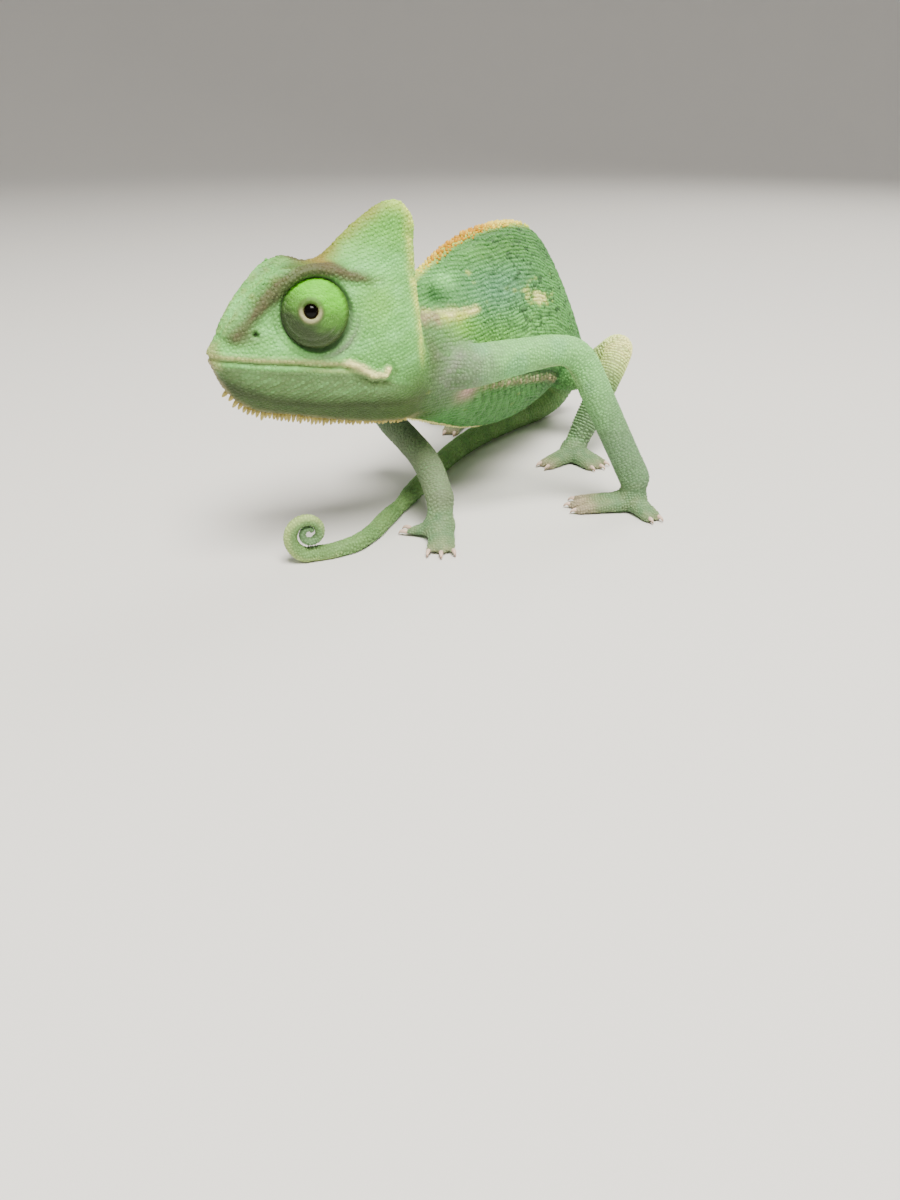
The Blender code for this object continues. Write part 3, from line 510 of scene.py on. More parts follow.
STREAK = ((-9, 37), (-5, 36.4), (-1, 35.9), (4, 35.5), (9.6, 35.6))        # along Y, height
CHIN = ((27.4, 30), (24.9, 28.6), (19.3, 26.6), (13.3, 25.4), (7.2, 24.9), (0, 24.2), (-6, 24.6))
MINT = tint(116, 190, 98)
PALE_MINT = tint(136, 220, 126)
GREEN = tint(88, 152, 78)
DEEP_GREEN = tint(60, 112, 58)
BLUISH = tint(102, 164, 124)
LIME = tint(128, 198, 64)
OLIVE = tint(70, 90, 44)
JAW_GREEN = tint(104, 138, 84)
BROWN = tint(88, 80, 58)
PINK_BEIGE = tint(176, 158, 122)
LIP = tint(158, 166, 104)
CREAM = tint(244, 238, 158)
YELLOW = tint(210, 224, 100)
OCHRE = tint(140, 108, 52)
MAUVE = tint(122, 134, 114)
ROSY = tint(184, 150, 140)
NOSTRIL_SHADE = tint(52, 50, 38)
SAGE = tint(134, 202, 120)
GREY_GREEN = tint(110, 140, 104)
TAN = tint(158, 150, 112)
TAIL_GREEN = tint(116, 156, 92)
KNEE = tint(238, 252, 158)


def coats(colour, *layers):
    """Tint over tint: each layer is a goal and how far the colour goes towards it."""
    for goal, share in layers:
        colour = colour + (goal - colour) * np.clip(share, 0, 1)[:, None]
    return colour


def trunk_colour(places, wide, grain):
    """Green flanks with a streak, a patch, flecks and cracks, grey shoulders and a pale keel; painted shade
    in the creases, grooves and a hollow, and a painted highlight.
    """
    x, y, z = places.T
    flat = np.abs(x)
    belly, back = column(TRUNK_ROWS, y, 1), column(TRUNK_ROWS, y, 2)
    level = (z - belly) / (back - belly)
    beside = ease(flat, 2, 3.5)
    width = 0.8 + 0.35 * wide + 0.25 * ease(y, 4, 0) - 0.35 * ease(y, 5, 10)
    streak = bump_at((from_line(y, z, STREAK)[0] + 0.5 * grain) / width, 1) * ease(y, 10.6, 7.5) * beside
    patch = spot(y, z + 0.2 * (y - 31.5), (31.5, 34.4), (7.4, 1.9))
    patch = ease(patch + 0.75 * roughness(places * (1, 0.3, 0.9), 0.85, 17) + 0.2 * grain, 0.35, 1.05)
    gap, above, along = from_line(y, z, FLANK_FOLD)
    under = ease(-above, 0.3, 1.2) * ease(y, 3, 9) * beside
    rays = ripple(y * 0.9 + z * 0.55, 2.2, 6 * wide + 1.6 * grain)
    cracks = bump_at(roughness(places * (1, 1, 0.45), 0.9, 41), 0.13) * bump_at(above - 0.4, 1.2)
    shoulder = spot(y, z, (-1.4, 27.6), (5.4, 5.8)) * ease(flat, 3, 5)
    flecks = ease(roughness(places * (1, 0.3, 2.6), 1, 11), 0.3, 0.42) * ease(patch, 0.5, 0.1)
    flecks *= ease(y, 12, 24) * ease(level, 0.4, 0.6)
    return coats(
        GREEN,
        (LIME, 0.55 * spot(y, z, (13, 28.5), (12, 6))),
        (MINT, 0.85 * spot(y, z, (28, 27.5), (14, 7))),
        (BLUISH, 0.75 * spot(y, z, (18, 37.5), (12, 4.5))),
        (LIME, 0.25 * spot(y, z, (24, 43.5), (14, 2.2))),
        (DEEP_GREEN, 0.25 * ease(level, 0.35, 0.15) + 0.25 * wide),
        (DEEP_GREEN * 0.8, 0.45 * bump_at(level - 0.93, 0.09) * ease(y, 12, 22)),
        # painted shade in the long creases along the flanks
        (DEEP_GREEN * 0.7, 0.6 * np.clip(crease(places), 0, 1) * ease(y, 4, 14)),
        (LIME, 0.8 * spot(y, z, (3, 33.6), (4, 1.6))),
        # painted highlight on the ridge above the hollow in the side of the neck, then painted shade in the
        # hollow
        (PALE_MINT, 0.9 * spot(y, z, (3.6, 41), (2.8, 1.2))),
        (DEEP_GREEN, 0.85 * spot(y, z, (1, 38.8), (1.4, 1), 1.4)),
        (YELLOW, 0.95 * streak * ease(y, -3, 0)),
        (CREAM, 0.9 * streak * ease(grain + 0.15 * y + 0.8 * (z - 35.7), 0.1, 0.8)),
        (PINK_BEIGE, 0.85 * streak * ease(y + 2 * grain, 0, -3)),
        (YELLOW, 0.72 * patch * beside),
        (CREAM, 0.62 * ease(patch, 0.5, 1) * beside),
        # painted shade in the groove along the top of the flank fold
        (DEEP_GREEN * 0.5, 0.8 * bump_at(above - 1.3, 0.7) * ease(y, 6, 12) * beside),
        (SAGE, 0.26 * under * ease(rays, -0.4, 1)),
        (DEEP_GREEN * 0.5, 0.7 * under * ease(rays, -0.5, -1) * ease(-above, 4, 1)),
        (PINK_BEIGE, 0.9 * (0.6 + 0.4 * knobs(y)) * bump_at(gap, 0.75) * ease(y, 6, 12) * beside),
        (DEEP_GREEN * 0.4, 0.75 * cracks * ease(y, 9, 14) * beside),
        (MAUVE, 0.9 * np.clip(1.2 * shoulder, 0, 1) * (0.8 + 0.5 * grain)),
        (ROSY * 1.3, 0.95 * spot(y, z, (4.4, 22.8), (1.5, 1), 1.9) * ease(flat, 4, 6)),
        (OLIVE, 0.75 * ease(z, 34, 24) * ease(y, 3, -4) * (1 - shoulder)),
        (BROWN, 0.45 * spot(y, z, (-6, 31.5), (2.5, 4.5)) * beside),
        (CREAM, 0.8 * ease(flat, 0.9, 0.35) * ease(level, 0.12, 0.05) * ease(z, 7, 9)),
        (YELLOW, 0.7 * ease(level, 0.96, 0.99) * ease(flat, 1.4, 0.5) * ease(y, 42, 34)),
        (DEEP_GREEN * 0.45, 0.85 * flecks))


def head_colour(ahead, out, height, wide, grain):
    """Mint, with brown brow bands, a yellow casque edge, pale lips and a cream fold behind them."""
    keel, crown = column(HEAD_ROWS, ahead, 1), column(HEAD_ROWS, ahead, 10)
    streaks = roughness(np.column_stack([ahead * 0.32, out * 0.4, height + 0.15 * ahead]), 1.1, 13)
    edge = bump_at(np.maximum(crown - height + 0.4 * grain, 0), 1.5) * ease(crown, 44.6, 46.2)
    snout = bump_at(crown + 0.6 - height, 0.8) * ease(ahead, 12, 15) * ease(grain, -0.3, 0.3)
    rear = bump_at(ahead + 4.2, 1) * ease(height, 28, 34)
    over_jaw = from_line(ahead, height, ((30, 33.9), *MOUTH, (0, 28.6), (-6, 27)))[1]
    jaw = ease(over_jaw, -0.2, -1.2)
    stripes = ripple(height * 0.86 + ahead * 0.5, 1.05, 1.2 * wide)
    chin_gap, over_chin, along = from_line(ahead, height, CHIN)
    gap, above, along = from_line(ahead, height, BROW)
    band = bump_at(gap + 0.3 * grain, 1.2 - 0.45 * ease(along, 0.5, 0.9))
    band *= ease(np.abs(out) / column(HEAD_ROWS, ahead, 8), 0.5, 0.75)
    band *= (0.8 + 0.45 * ease(along, 0.1, 0.32)) * (1 - 0.75 * ease(along, 0.78, 1))
    from_eye, from_nostril = head_gaps(ahead, height)
    turn = np.degrees(np.arctan2(height - EYE_CENTRE[2], ahead - EYE_CENTRE[0]))
    mouth_gap, over_mouth, mouth_share = from_line(ahead, height, MOUTH)
    lips = 1 - ease(mouth_share, 0.85, 1)
    gap, above, along = from_line(ahead, height, FOLD)
    fold = ease(along, 0.02, 0.25)
    return coats(
        MINT,
        (PALE_MINT, 0.2 * ease(height, 40, 45) * ease(height, 50, 46) + 0.3 * wide),
        (PALE_MINT, 0.45 * spot(ahead, height, (3, 45.6), (4.5, 1.8))),
        # painted highlight on the snout
        (PALE_MINT, 0.8 * spot(ahead, height, (23.5, 40.2), (3, 1.5))),
        (LIME, 0.4 * spot(ahead, height, (3.5, 40.5), (3, 3))),
        (MINT * (0.5, 0.66, 0.55), 0.7 * ease(height, 44, 48) * ease(wide + 0.4 * grain, -0.4, 0.4)),
        (MINT * (0.62, 0.76, 0.66), 0.42 * ease(streaks, 0.05, 0.6)),
        (PALE_MINT * (1.05, 1, 1.1), 0.4 * ease(-streaks, 0.1, 0.6)),
        (OCHRE, 0.92 * edge * ease(ahead, -2.5, 1.5)),
        (YELLOW, 0.75 * edge * ease(ahead, 1, -2)),
        (LIME, 0.35 * ease(height, 45, 50)),
        (OCHRE, 0.35 * snout),
        (YELLOW, 0.85 * rear * (0.75 + 0.6 * grain)),
        (JAW_GREEN, jaw * ease(ahead, -3, 3)),
        (PALE_MINT, 0.15 * ease(streaks, 0.1, 0.6) * jaw),
        (OLIVE, 0.35 * ease(-streaks, 0.1, 0.6) * jaw),
        (PALE_MINT, 0.22 * ease(stripes, 0.2, 1) * ease(over_jaw, -1.2, -2.4)),
        # painted shade under the jaw: dark along the chin line and below it, and darker towards the bottom at
        # the back of the head
        (OLIVE * 0.6, 0.97 * np.maximum(bump_at(chin_gap, 1.7), 0.85 * ease(over_chin, 0.6, -0.6))),
        (OLIVE, 0.8 * ease(height, 33.5, 27) * ease(ahead, 5, -3)),
        (BROWN, np.clip(1.15 * band, 0, 0.96) * (0.94 + 0.16 * grain)),
        (BROWN, 0.6 * spot(ahead, height, (23.6, 36.9), (2.2, 1.3))),
        # painted shade in the nostril's pit
        (NOSTRIL_SHADE, 0.9 * bump_at(from_nostril, 0.45)),
        # painted shade in the gap round the eye turret, broadest and darkest above it under the brow
        (GREY_GREEN, 0.7 * ease(from_eye, 5.7, 5.2)),
        (OLIVE * 0.6, 0.8 * ease(from_eye, 5.6, 5) * bump_at((turn - 100) / 70, 1)),
        (OLIVE * 0.9, 0.8 * bump_at(from_eye - 5.9, 0.9) * bump_at((turn - 62) / 68, 1)),
        (MAUVE, 0.85 * bump_at(from_eye - 6.1, 0.6) * bump_at((turn + 125) / 42, 1)),
        (LIP, 0.95 * bump_at(over_mouth - 0.55, 0.45) * lips),
        (LIP, 0.55 * bump_at(over_mouth + 0.5, 0.3) * ease(mouth_share, 0.45, 0.7)),
        (BROWN, 0.6 * bump_at(mouth_gap, 0.15) * lips),
        (LIP, 0.8 * ease(ahead, 26.6, 28.2) * ease(height, 31.5, 33)),
        # the fold behind the mouth: painted shade in the olive under it, a tan lower side that is partly
        # painted shade, and a cream top that is partly its own colour and partly a painted highlight
        (OLIVE, 0.5 * bump_at(above + 1.5, 0.5) * ease(along, 0.2, 0.5) * ease(gap, 2.6, 2)),
        (TAN, 0.75 * bump_at(gap, 0.62) * fold),
        (CREAM * 1.15, 0.98 * bump_at(above - 0.12 + 0.3 * grain, 0.4) * fold * ease(gap, 1.2, 0.8)),
        (TAN, 0.8 * bump_at(np.maximum(height - keel, 0), 0.6)))


def limb_colour(name, places, along, share, wide, grain):
    """The colour of a leg or of the tail, from its root to its end."""
    x, y, z = places.T
    rings = ripple(along, 0.96, wide)
    if name == "tail":
        return coats(TAIL_GREEN,
                     ((GREEN + GREY_GREEN) * 0.5, ease(share, 0.24, 0.06)),
                     (KNEE, 0.12 * ease(ripple(along, 1.2), 0, 1) * ease(share, 0.95, 0.85)),
                     (DEEP_GREEN, 0.22 * ease(ripple(along, 9, wide), 0.2, 0.9)))
    if name == "left_arm":
        inner = bump_at(share - 0.47, 0.1) * ease(z + 0.8 * (x - 20), 28, 25.5)
        return coats(SAGE,
                     (MAUVE, 0.9 * ease(share + 0.03 * wide + 0.02 * grain, 0.24, 0.06)),
                     (BLUISH, 0.35 * ease(wide, 0.1, 0.5)),
                     # pinkish brown inside the elbow: partly the skin's own tint, partly painted shade in the
                     # bend
                     (PINK_BEIGE * 0.8, 0.8 * inner),
                     (GREY_GREEN * 0.9, 0.9 * ease(share + 0.06 * wide, 0.5, 0.85)),
                     (PALE_MINT, 0.2 * ease(rings, 0.2, 1)))
    if name == "right_arm":
        return coats(GREY_GREEN * 0.85,
                     (TAN * 0.7, 0.25 * ease(share + 0.06 * wide, 0.3, 0.6)),
                     (PALE_MINT * 0.7, 0.25 * ease(rings, 0.2, 1)))
    return coats(TAIL_GREEN + (GREEN - TAIL_GREEN) * 0.3,
                 (GREEN, 0.5 * ease(share, 0.34, 0.12)),
                 (KNEE * 1.2, 0.95 * bump_at(share - 0.5, 0.15)),
                 (GREY_GREEN, 0.7 * ease(share, 0.7, 1)))


def hide_colour(places):
    """The colour of the skin at places given in the animal's own frame."""
    x, y, z = places.T
    ahead, out, height = head_frame(places)
    wide, grain = roughness(places, 5, 3), roughness(places, 1.3, 7)
    low = 1.6 * ease(height, 35, 30)
    on_head = ease(ahead, -5.7 - low, -5 + low) * ease(height, *THROAT)
    colour = coats(trunk_colour(places, wide, grain), (head_colour(ahead, out, height, wide, grain), on_head))
    for name, path in TUBES.items():
        past, along, heading = from_tube(places, path)
        whole = lengths_of(np.diff(smooth_path(path, 3)[:, :3], axis=0)).sum()
        hold = ease(past, 1.3, 0.3) * ease(along, 1, 5) * (1 - on_head)
        if name == "left_arm":
            hold *= ease(along, 2, 7)
        colour = coats(colour, (limb_colour(name, places, along, along / whole, wide, grain), hold))
    for foot, ((palm_x, palm_y), *bundles) in FEET.items():
        reach = np.hypot(x - palm_x, y - palm_y)
        past = np.minimum.reduce([from_tube(places, path, 1)[0] for path in toe_paths(foot)] + [reach - 3])
        hold = ease(z, 7, 4.2) * ease(reach, 14, 12.5) * ease(past, 1.2, 0.4)
        sole = coats(GREY_GREEN * (0.92, 1.04, 0.9),
                     (TAN, 0.1 + 0.4 * ease(reach, 3.5, 9) + 0.2 * grain),
                     (ROSY * 1.15, (0.4 if "fore" in foot else 0.6) * ease(reach, 6, 10)))
        colour = coats(colour, (sole, hold))

    # the coil, paler and yellower on its outer side and greyer towards its tip
    spine, centre = np.array(coil_path), np.array(COIL_CENTRE)
    reach = lengths_of(places - centre)
    near = np.flatnonzero((reach < 7) & (y < -19))
    gaps = np.linalg.norm(places[near, None] - spine[None, :, :3], axis=2) - spine[:, 3]
    turn = gaps.argmin(axis=1)
    outer = (reach[near] - lengths_of(spine[turn, :3] - centre)) / spine[turn, 3]
    share = turn / len(spine)
    limb = coats(TAIL_GREEN,
                 (GREY_GREEN * (0.95, 1.08, 0.95), 0.8 * ease(share, 0.3, 0.65)),
                 (KNEE, 0.3 * ease(outer, 0, 0.9) * ease(share, 0.6, 0.35)),
                 (OLIVE, 0.3 * ease(-outer, 0.1, 0.9)))
    colour[near] = coats(colour[near], (limb, ease(reach[near], 7, 6) * ease(y[near], -19, -21)))
    return np.clip(colour * (1 + 0.12 * grain + 0.08 * wide)[:, None], 0, 1)


def paint(mesh, colours):
    """Store a colour for every vertex, which the skin's and the scales' finish reads."""
    layer = mesh.color_attributes.new("hide", "FLOAT_COLOR", "POINT")
    colours = np.column_stack([colours, np.ones(len(colours))])
    layer.data.foreach_set("color", colours.astype(np.float32).ravel())


def plain_finish(name, matt, shine=0.5):
    """A new finish and its shader."""
    finish = bpy.data.materials.new(name)
    finish.use_nodes = True
    shader = finish.node_tree.nodes["Principled BSDF"]
    shader.inputs["Roughness"].default_value = matt
    shader.inputs["Specular IOR Level"].default_value = shine
    return finish, shader


def hide_finish(name, grain, strength, matt):
    """Matt skin: its own tint, broken up a little, with a fine grain in its surface."""
    finish, shader = plain_finish(name, matt, 0.35)
    links = finish.node_tree.links

    def add(kind, **values):
        node = finish.node_tree.nodes.new("ShaderNode" + kind)
        for socket, value in values.items():
            node.inputs[socket.replace("_", " ")].default_value = value
        return node

    own_tint, place = add("Attribute"), add("TexCoord")
    own_tint.attribute_name = "hide"
    mottle = add("TexNoise", Scale=900, Detail=3)
    links.new(place.outputs["Object"], mottle.inputs["Vector"])
    shade = add("MapRange", To_Min=0.86, To_Max=1.12)
    links.new(mottle.outputs["Fac"], shade.inputs["Value"])
    blend = add("VectorMath")
    blend.operation = "SCALE"
    links.new(own_tint.outputs["Color"], blend.inputs[0])
    links.new(shade.outputs["Result"], blend.inputs["Scale"])
    links.new(blend.outputs["Vector"], shader.inputs["Base Color"])
    pebbles = add("TexVoronoi", Scale=grain)
    links.new(place.outputs["Object"], pebbles.inputs["Vector"])
    relief = add("Bump", Strength=strength, Distance=0.0002)
    relief.invert = True
    links.new(pebbles.outputs["Distance"], relief.inputs["Height"])
    links.new(relief.outputs["Normal"], shader.inputs["Normal"])
    return finish


def at_shoulder(places):
    """1 in the soft skin of the left shoulder and the neck before it, falling to 0 around it."""
    return bump_at(lengths_of((places - (5.5, -2.5, 29)) / (8, 8, 9)), 1)


FLESH_NODES = [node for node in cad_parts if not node.startswith("eye")]
skin_finish = hide_finish("chameleon_skin", 2200, 0.5, 0.62)
places = positions(skin.data)
ahead, out, height = head_frame(places)
# darker in the joints between scales, least on the head and at the shoulder, most on the legs
under_scales = 0.76 + 0.12 * ease(ahead, -5.6, -4.8) * ease(height, *THROAT)
for leg in (LEFT_LEG, RIGHT_LEG):
    past, along, heading = from_tube(places, leg)
    under_scales -= 0.3 * ease(past, 1.2, 0.5) * ease(along, 6, 11)
under_scales = np.maximum(under_scales, 0.97 * at_shoulder(places))
paint(skin.data, hide_colour(places) * under_scales[:, None])
skin.data.materials.clear()
skin.data.materials.append(skin_finish)


def into_place(thing):
    """From the animal's own millimetres to the part's frame, in metres, with smooth shading."""
    thing.data.transform(Matrix.Scale(MM, 4) @ Matrix.Translation(-MIDDLE))
    thing.data.shade_smooth()


# ---------------------------------------------------------------------------------------------
# Scales.  Small flat granules in rows, level on the flanks, round the legs, tail and eyes and
# along the lips: six-sided domes rooted a little under the skin, one closed mesh per region.
# Their roots are thrown on the skin at random, drawn to the nearest row and thinned out.
RNG = np.random.default_rng(7)
SCALE_SIZES = {        # row to row, granule to granule, height
    "trunk": (0.66, 0.58, 0.13), "head": (0.56, 0.54, 0.08), "arm": (0.48, 0.56, 0.11),
    "leg": (0.6, 0.56, 0.2), "foot": (0.48, 0.42, 0.12), "tail": (0.6, 0.56, 0.15),
    "coil": (0.4, 0.46, 0.07),
}
ROOT_COUNT = 300000
CELL = 0.66            # side of the cells in which near roots are looked for
LEAST_SLOPE = 0.12     # where the rows are vaguer than this, roots stay where they fell
UNWRAP_SHARE = 0.05    # of the skin's faces, kept in the copy that is unwrapped


def skin_table():
    """The skin's triangles, with the corners' places and normals."""
    mesh = skin.data
    mesh.calc_loop_triangles()
    corners = np.empty(len(mesh.loop_triangles) * 3, dtype=np.int32)
    mesh.loop_triangles.foreach_get("vertices", corners)
    corners = corners.reshape(-1, 3)
    return positions(mesh)[corners], normals(mesh)[corners]


def unit(vectors):
    return vectors / np.maximum(lengths_of(vectors), 1e-9)[:, None]


def sizes_of(region, k):
    """The k-th of the sizes above for each root's region."""
    return np.array([SCALE_SIZES[name][k] for name in region])


def region_rows(places, facing):
    """For places on the skin: the region, how far they are across its rows, that direction, and
    whether they stay bare."""
    x, y, z = places.T
    ahead, out, height = head_frame(places)
    count = len(places)
    region = np.full(count, "trunk", dtype=object)
    droop = np.maximum(y - 25, 0)
    order = z + 0.012 * droop ** 2 + 0.55 * roughness(places, 5.5, 21) + 0.18 * roughness(places, 1.4, 5)
    axis = np.column_stack([np.zeros(count), 0.024 * droop, np.ones(count)])

    def assign(here, name, new_order, new_axis):
        region[here], order[here], axis[here] = name, new_order, new_axis

    on_head = (ahead > -5.4) & (z > 17.5)
    for name, path in TUBES.items():
        past, along, heading = from_tube(places, path)
        start = {"tail": 2, "left_arm": 4}.get(name, 3)
        here = (past < 0.6) & (along > start) & ~(on_head & (z > 18))
        assign(here, "tail" if name == "tail" else name[-3:], along[here], heading[here])
    near = (lengths_of(places - np.array(COIL_CENTRE)) < 6.4) & (y < -21) & (z < 12)
    past, along, heading = from_tube(places[near], coil_path, 1)
    assign(near, "coil", along, heading)
    for foot, ((palm_x, palm_y), *bundles) in FEET.items():
        near = np.flatnonzero((np.hypot(x - palm_x, y - palm_y) < 14) & (z < 4.6)
                              & (region != "tail") & (region != "coil"))
        best = np.full(len(near), 1e9)
        for path in toe_paths(foot):
            past, along, heading = from_tube(places[near], path, 2)
            closer = (past < best) & (past < 0.9)
            best = np.minimum(past, best)
            assign(near[closer], "foot", along[closer], heading[closer])

    # rows on the head follow the mouth, and go round the eyes
    here = on_head & (region == "trunk")
    gap, above, along = from_line(ahead, height, ((30, 33.9), *MOUTH, (1, 29)))
    wave = 0.3 * roughness(places, 4, 9)
    slope = np.where(above > 0, 0.22, 0.5)
    lean = np.column_stack([slope * FORWARD.x, slope * FORWARD.y, np.full(count, 0.9)])
    assign(here, "head", (height * 0.9 + ahead * slope + wave)[here], lean[here])
    lips = here & (gap < 1.9) & (ahead > 1)
    assign(lips, "head", above[lips], (0, 0, 1))
    from_eye, from_nostril = head_gaps(ahead, height)
    ring = here & (from_eye < 7.4) & (np.abs(out) > 1.5)
    before = ahead - EYE_CENTRE[0]
    around = np.column_stack([before * FORWARD.x, before * FORWARD.y, height - EYE_CENTRE[2]])
    assign(ring, "head", from_eye[ring], unit(around)[ring])
    bare = (from_eye < 5.35) & (np.abs(out) > 2.5) | (gap < 0.26) & (ahead > 5.5) | (from_nostril < 0.5)
    bare = here & bare | (z < MIDDLE.z + 0.35) & (facing[:, 2] < -0.2)
    return region, order, axis, bare


def throw_roots(count):
    """Roots for the granules: place, outward normal, direction across the rows, and region."""
    corners, facing = skin_table()
    area = lengths_of(np.cross(corners[:, 1] - corners[:, 0], corners[:, 2] - corners[:, 0]))
    chosen = np.searchsorted(np.cumsum(area), RNG.random(count) * area.sum())
    chosen = np.minimum(chosen, len(area) - 1)
    u, v = RNG.random((2, count))
    flip = u + v > 1
    u, v = np.where(flip, 1 - u, u)[:, None], np.where(flip, 1 - v, v)[:, None]
    places, out = (table[chosen, 0] * (1 - u - v) + table[chosen, 1] * u + table[chosen, 2] * v
                   for table in (corners, facing))
    out = unit(out)
    region, order, axis, bare = region_rows(places, out)
    row_step = sizes_of(region, 0)
    across = axis - out * np.sum(out * axis, axis=1)[:, None]
    strength = np.sum(across * across, axis=1)
    miss = (np.round(order / row_step) * row_step - order) * np.where(region == "head", 0.55, 1)
    firm = strength > LEAST_SLOPE
    places = places + np.where(firm, miss / np.maximum(strength, LEAST_SLOPE), 0)[:, None] * across
    across = unit(np.where(firm[:, None], across, np.cross(out, np.array((0, 1, 0.02)))))
    return places[~bare], out[~bare], across[~bare], region[~bare]


def thin_out(places, across, out, region):
    """Keep roots that are at least a granule apart along the row, and a row apart across it."""
    kept, cells = [], {}
    rows, steps = sizes_of(region, 0) * 0.94, sizes_of(region, 1) * 0.9
    px, py, pz = places.T.tolist()
    ax, ay, az = (across / rows[:, None]).T.tolist()
    lx, ly, lz = (np.cross(out, across) / steps[:, None]).T.tolist()

    def crowded(i, cell):
        for near in product(*((k - 1, k, k + 1) for k in cell)):
            for j in cells.get(near, ()):
                dx, dy, dz = px[i] - px[j], py[i] - py[j], pz[i] - pz[j]
                a = dx * ax[i] + dy * ay[i] + dz * az[i]
                b = dx * lx[i] + dy * ly[i] + dz * lz[i]
                if a * a + b * b < 1 and dx * dx + dy * dy + dz * dz < 0.5:
                    return True
        return False

    for i, cell in enumerate(map(tuple, np.floor(places / CELL).astype(int).tolist())):
        if not crowded(i, cell):
            cells.setdefault(cell, []).append(i)
            kept.append(i)
    return np.array(kept)


# an unwrap of the skin's own shape, on a coarse copy, for each granule's patch of the bake
plan = fresh_object("plan", bmesh.new())
plan.data = skin.data.copy()
coarse = plan.modifiers.new("coarse", "DECIMATE")
coarse.ratio = UNWRAP_SHARE
settle(plan)
bpy.context.view_layer.objects.active = plan
plan.select_set(True)
bpy.ops.object.mode_set(mode="EDIT")
bpy.ops.mesh.select_all(action="SELECT")
bpy.ops.uv.smart_project(angle_limit=radians(66), island_margin=0.002)
bpy.ops.object.mode_set(mode="OBJECT")
plan_mesh = bmesh.new()
plan_mesh.from_mesh(plan.data)
bmesh.ops.triangulate(plan_mesh, faces=plan_mesh.faces)
plan_mesh.faces.ensure_lookup_table()
plan_tree = BVHTree.FromBMesh(plan_mesh)
plan_map = plan_mesh.loops.layers.uv.active
plan_faces = [([loop.vert.co.copy() for loop in face.loops],
               [loop[plan_map].uv.copy() for loop in face.loops]) for face in plan_mesh.faces]
plan_mesh.free()
bpy.data.objects.remove(plan)


def on_plan(place):
    """Where a place on the skin falls on its unwrap."""
    place, normal, index, gap = plan_tree.find_nearest(place)
    (a, b, c), (ua, ub, uc) = plan_faces[index]
    whole = (b - a).cross(c - a).length or 1e-9
    share_b = (place - a).cross(c - a).length / whole
    share_c = (b - a).cross(place - a).length / whole
    return ua + (ub - ua) * share_b + (uc - ua) * share_c


PATCH = 0.0015         # half of a granule's patch on the unwrap
SIX = np.arange(6) * pi / 3 + pi / 6


def grow(name, roots, out, along, lengths, widths, heights, profile, colours, finish, sink=0.06):
    """One mesh of many like growths: rings of six as profile (spread, rise) rows, closed below
    and above, standing at roots, with each growth's colour and its patch of the bake."""
    count, corners = len(roots), len(profile) * 6
    across = np.cross(out, along)
    shape = []
    for spread, rise in profile:
        ring = (along[:, None] * (np.cos(SIX)[None, :, None] * (lengths * spread)[:, None, None])
                + across[:, None] * (np.sin(SIX)[None, :, None] * (widths * spread)[:, None, None])
                + out[:, None] * (rise * heights - (sink if rise <= 0 else 0))[:, None, None])
        shape.append(roots[:, None] + ring)
    verts = np.concatenate(shape, axis=1).reshape(-1, 3)
    quads = np.array([(r + k, r + (k + 1) % 6, r + 6 + (k + 1) % 6, r + 6 + k)
                      for r in range(0, corners - 6, 6) for k in range(6)])
    first = np.arange(count)[:, None, None] * corners
    sides = (first + quads[None]).reshape(-1, 4)
    ends = (first + np.array([range(5, -1, -1), range(corners - 6, corners)])[None]).reshape(-1, 6)
    mesh = bpy.data.meshes.new(name)
    mesh.vertices.add(len(verts))
    mesh.vertices.foreach_set("co", verts.ravel())
    order = np.concatenate([sides.ravel(), ends.ravel()])
    mesh.loops.add(len(order))
    mesh.loops.foreach_set("vertex_index", order)
    mesh.polygons.add(len(sides) + len(ends))
    starts = np.concatenate([np.arange(len(sides)) * 4, sides.size + np.arange(len(ends)) * 6])
    mesh.polygons.foreach_set("loop_start", starts)
    mesh.update(calc_edges=True)
    six = np.column_stack([np.cos(SIX), np.sin(SIX)])
    patch = np.tile(np.concatenate([six * spread for spread, rise in profile]), (count, 1))
    centres = np.repeat(np.array([on_plan(Vector(root)) for root in roots]), corners, axis=0)
    bake_map = mesh.uv_layers.new(name="OFBake")
    bake_map.data.foreach_set("uv", (centres + patch * PATCH)[order].astype(np.float32).ravel())
    paint(mesh, np.repeat(colours, corners, axis=0))
    thing = bpy.data.objects.new(name, mesh)
    bpy.context.scene.collection.objects.link(thing)
    mesh.materials.append(finish)
    into_place(thing)
    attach(thing, "root")
    return thing


skin_tree = BVHTree.FromPolygons([Vector(p) for p in positions(skin.data)],
                                 [tuple(face.vertices) for face in skin.data.polygons])
roots, out, across, region = throw_roots(ROOT_COUNT)
kept = thin_out(roots, across, out, region)
roots, out, across, region = roots[kept], out[kept], across[kept], region[kept]
roots = np.array([skin_tree.find_nearest(Vector(root))[0] for root in roots])
along = unit(np.cross(out, across))
tall = sizes_of(region, 2) * (0.85 + 0.3 * RNG.random(len(roots)))
tall *= 1 - 0.5 * at_shoulder(roots)
vary = 0.88 + 0.22 * RNG.random(len(roots))
row_half = sizes_of(region, 0) * np.where(region == "leg", 0.4, 0.5) * vary
step_half = sizes_of(region, 1) * np.where(region == "leg", 0.68, 0.56) * vary
scale_colours = np.clip(hide_colour(roots) * (0.93 + 0.14 * RNG.random(len(roots)))[:, None], 0, 1)
GRANULE = ((1, 0), (0.92, 0.45), (0.55, 1))
scale_finish = hide_finish("chameleon_scales", 4200, 0.25, 0.55)
groups = {
    "trunk_left": (region == "trunk") & (roots[:, 0] >= 0),
    "trunk_right": (region == "trunk") & (roots[:, 0] < 0),
    "head": region == "head", "arms": region == "arm", "legs": region == "leg",
    "tail": (region == "tail") | (region == "coil"), "feet": region == "foot",
}
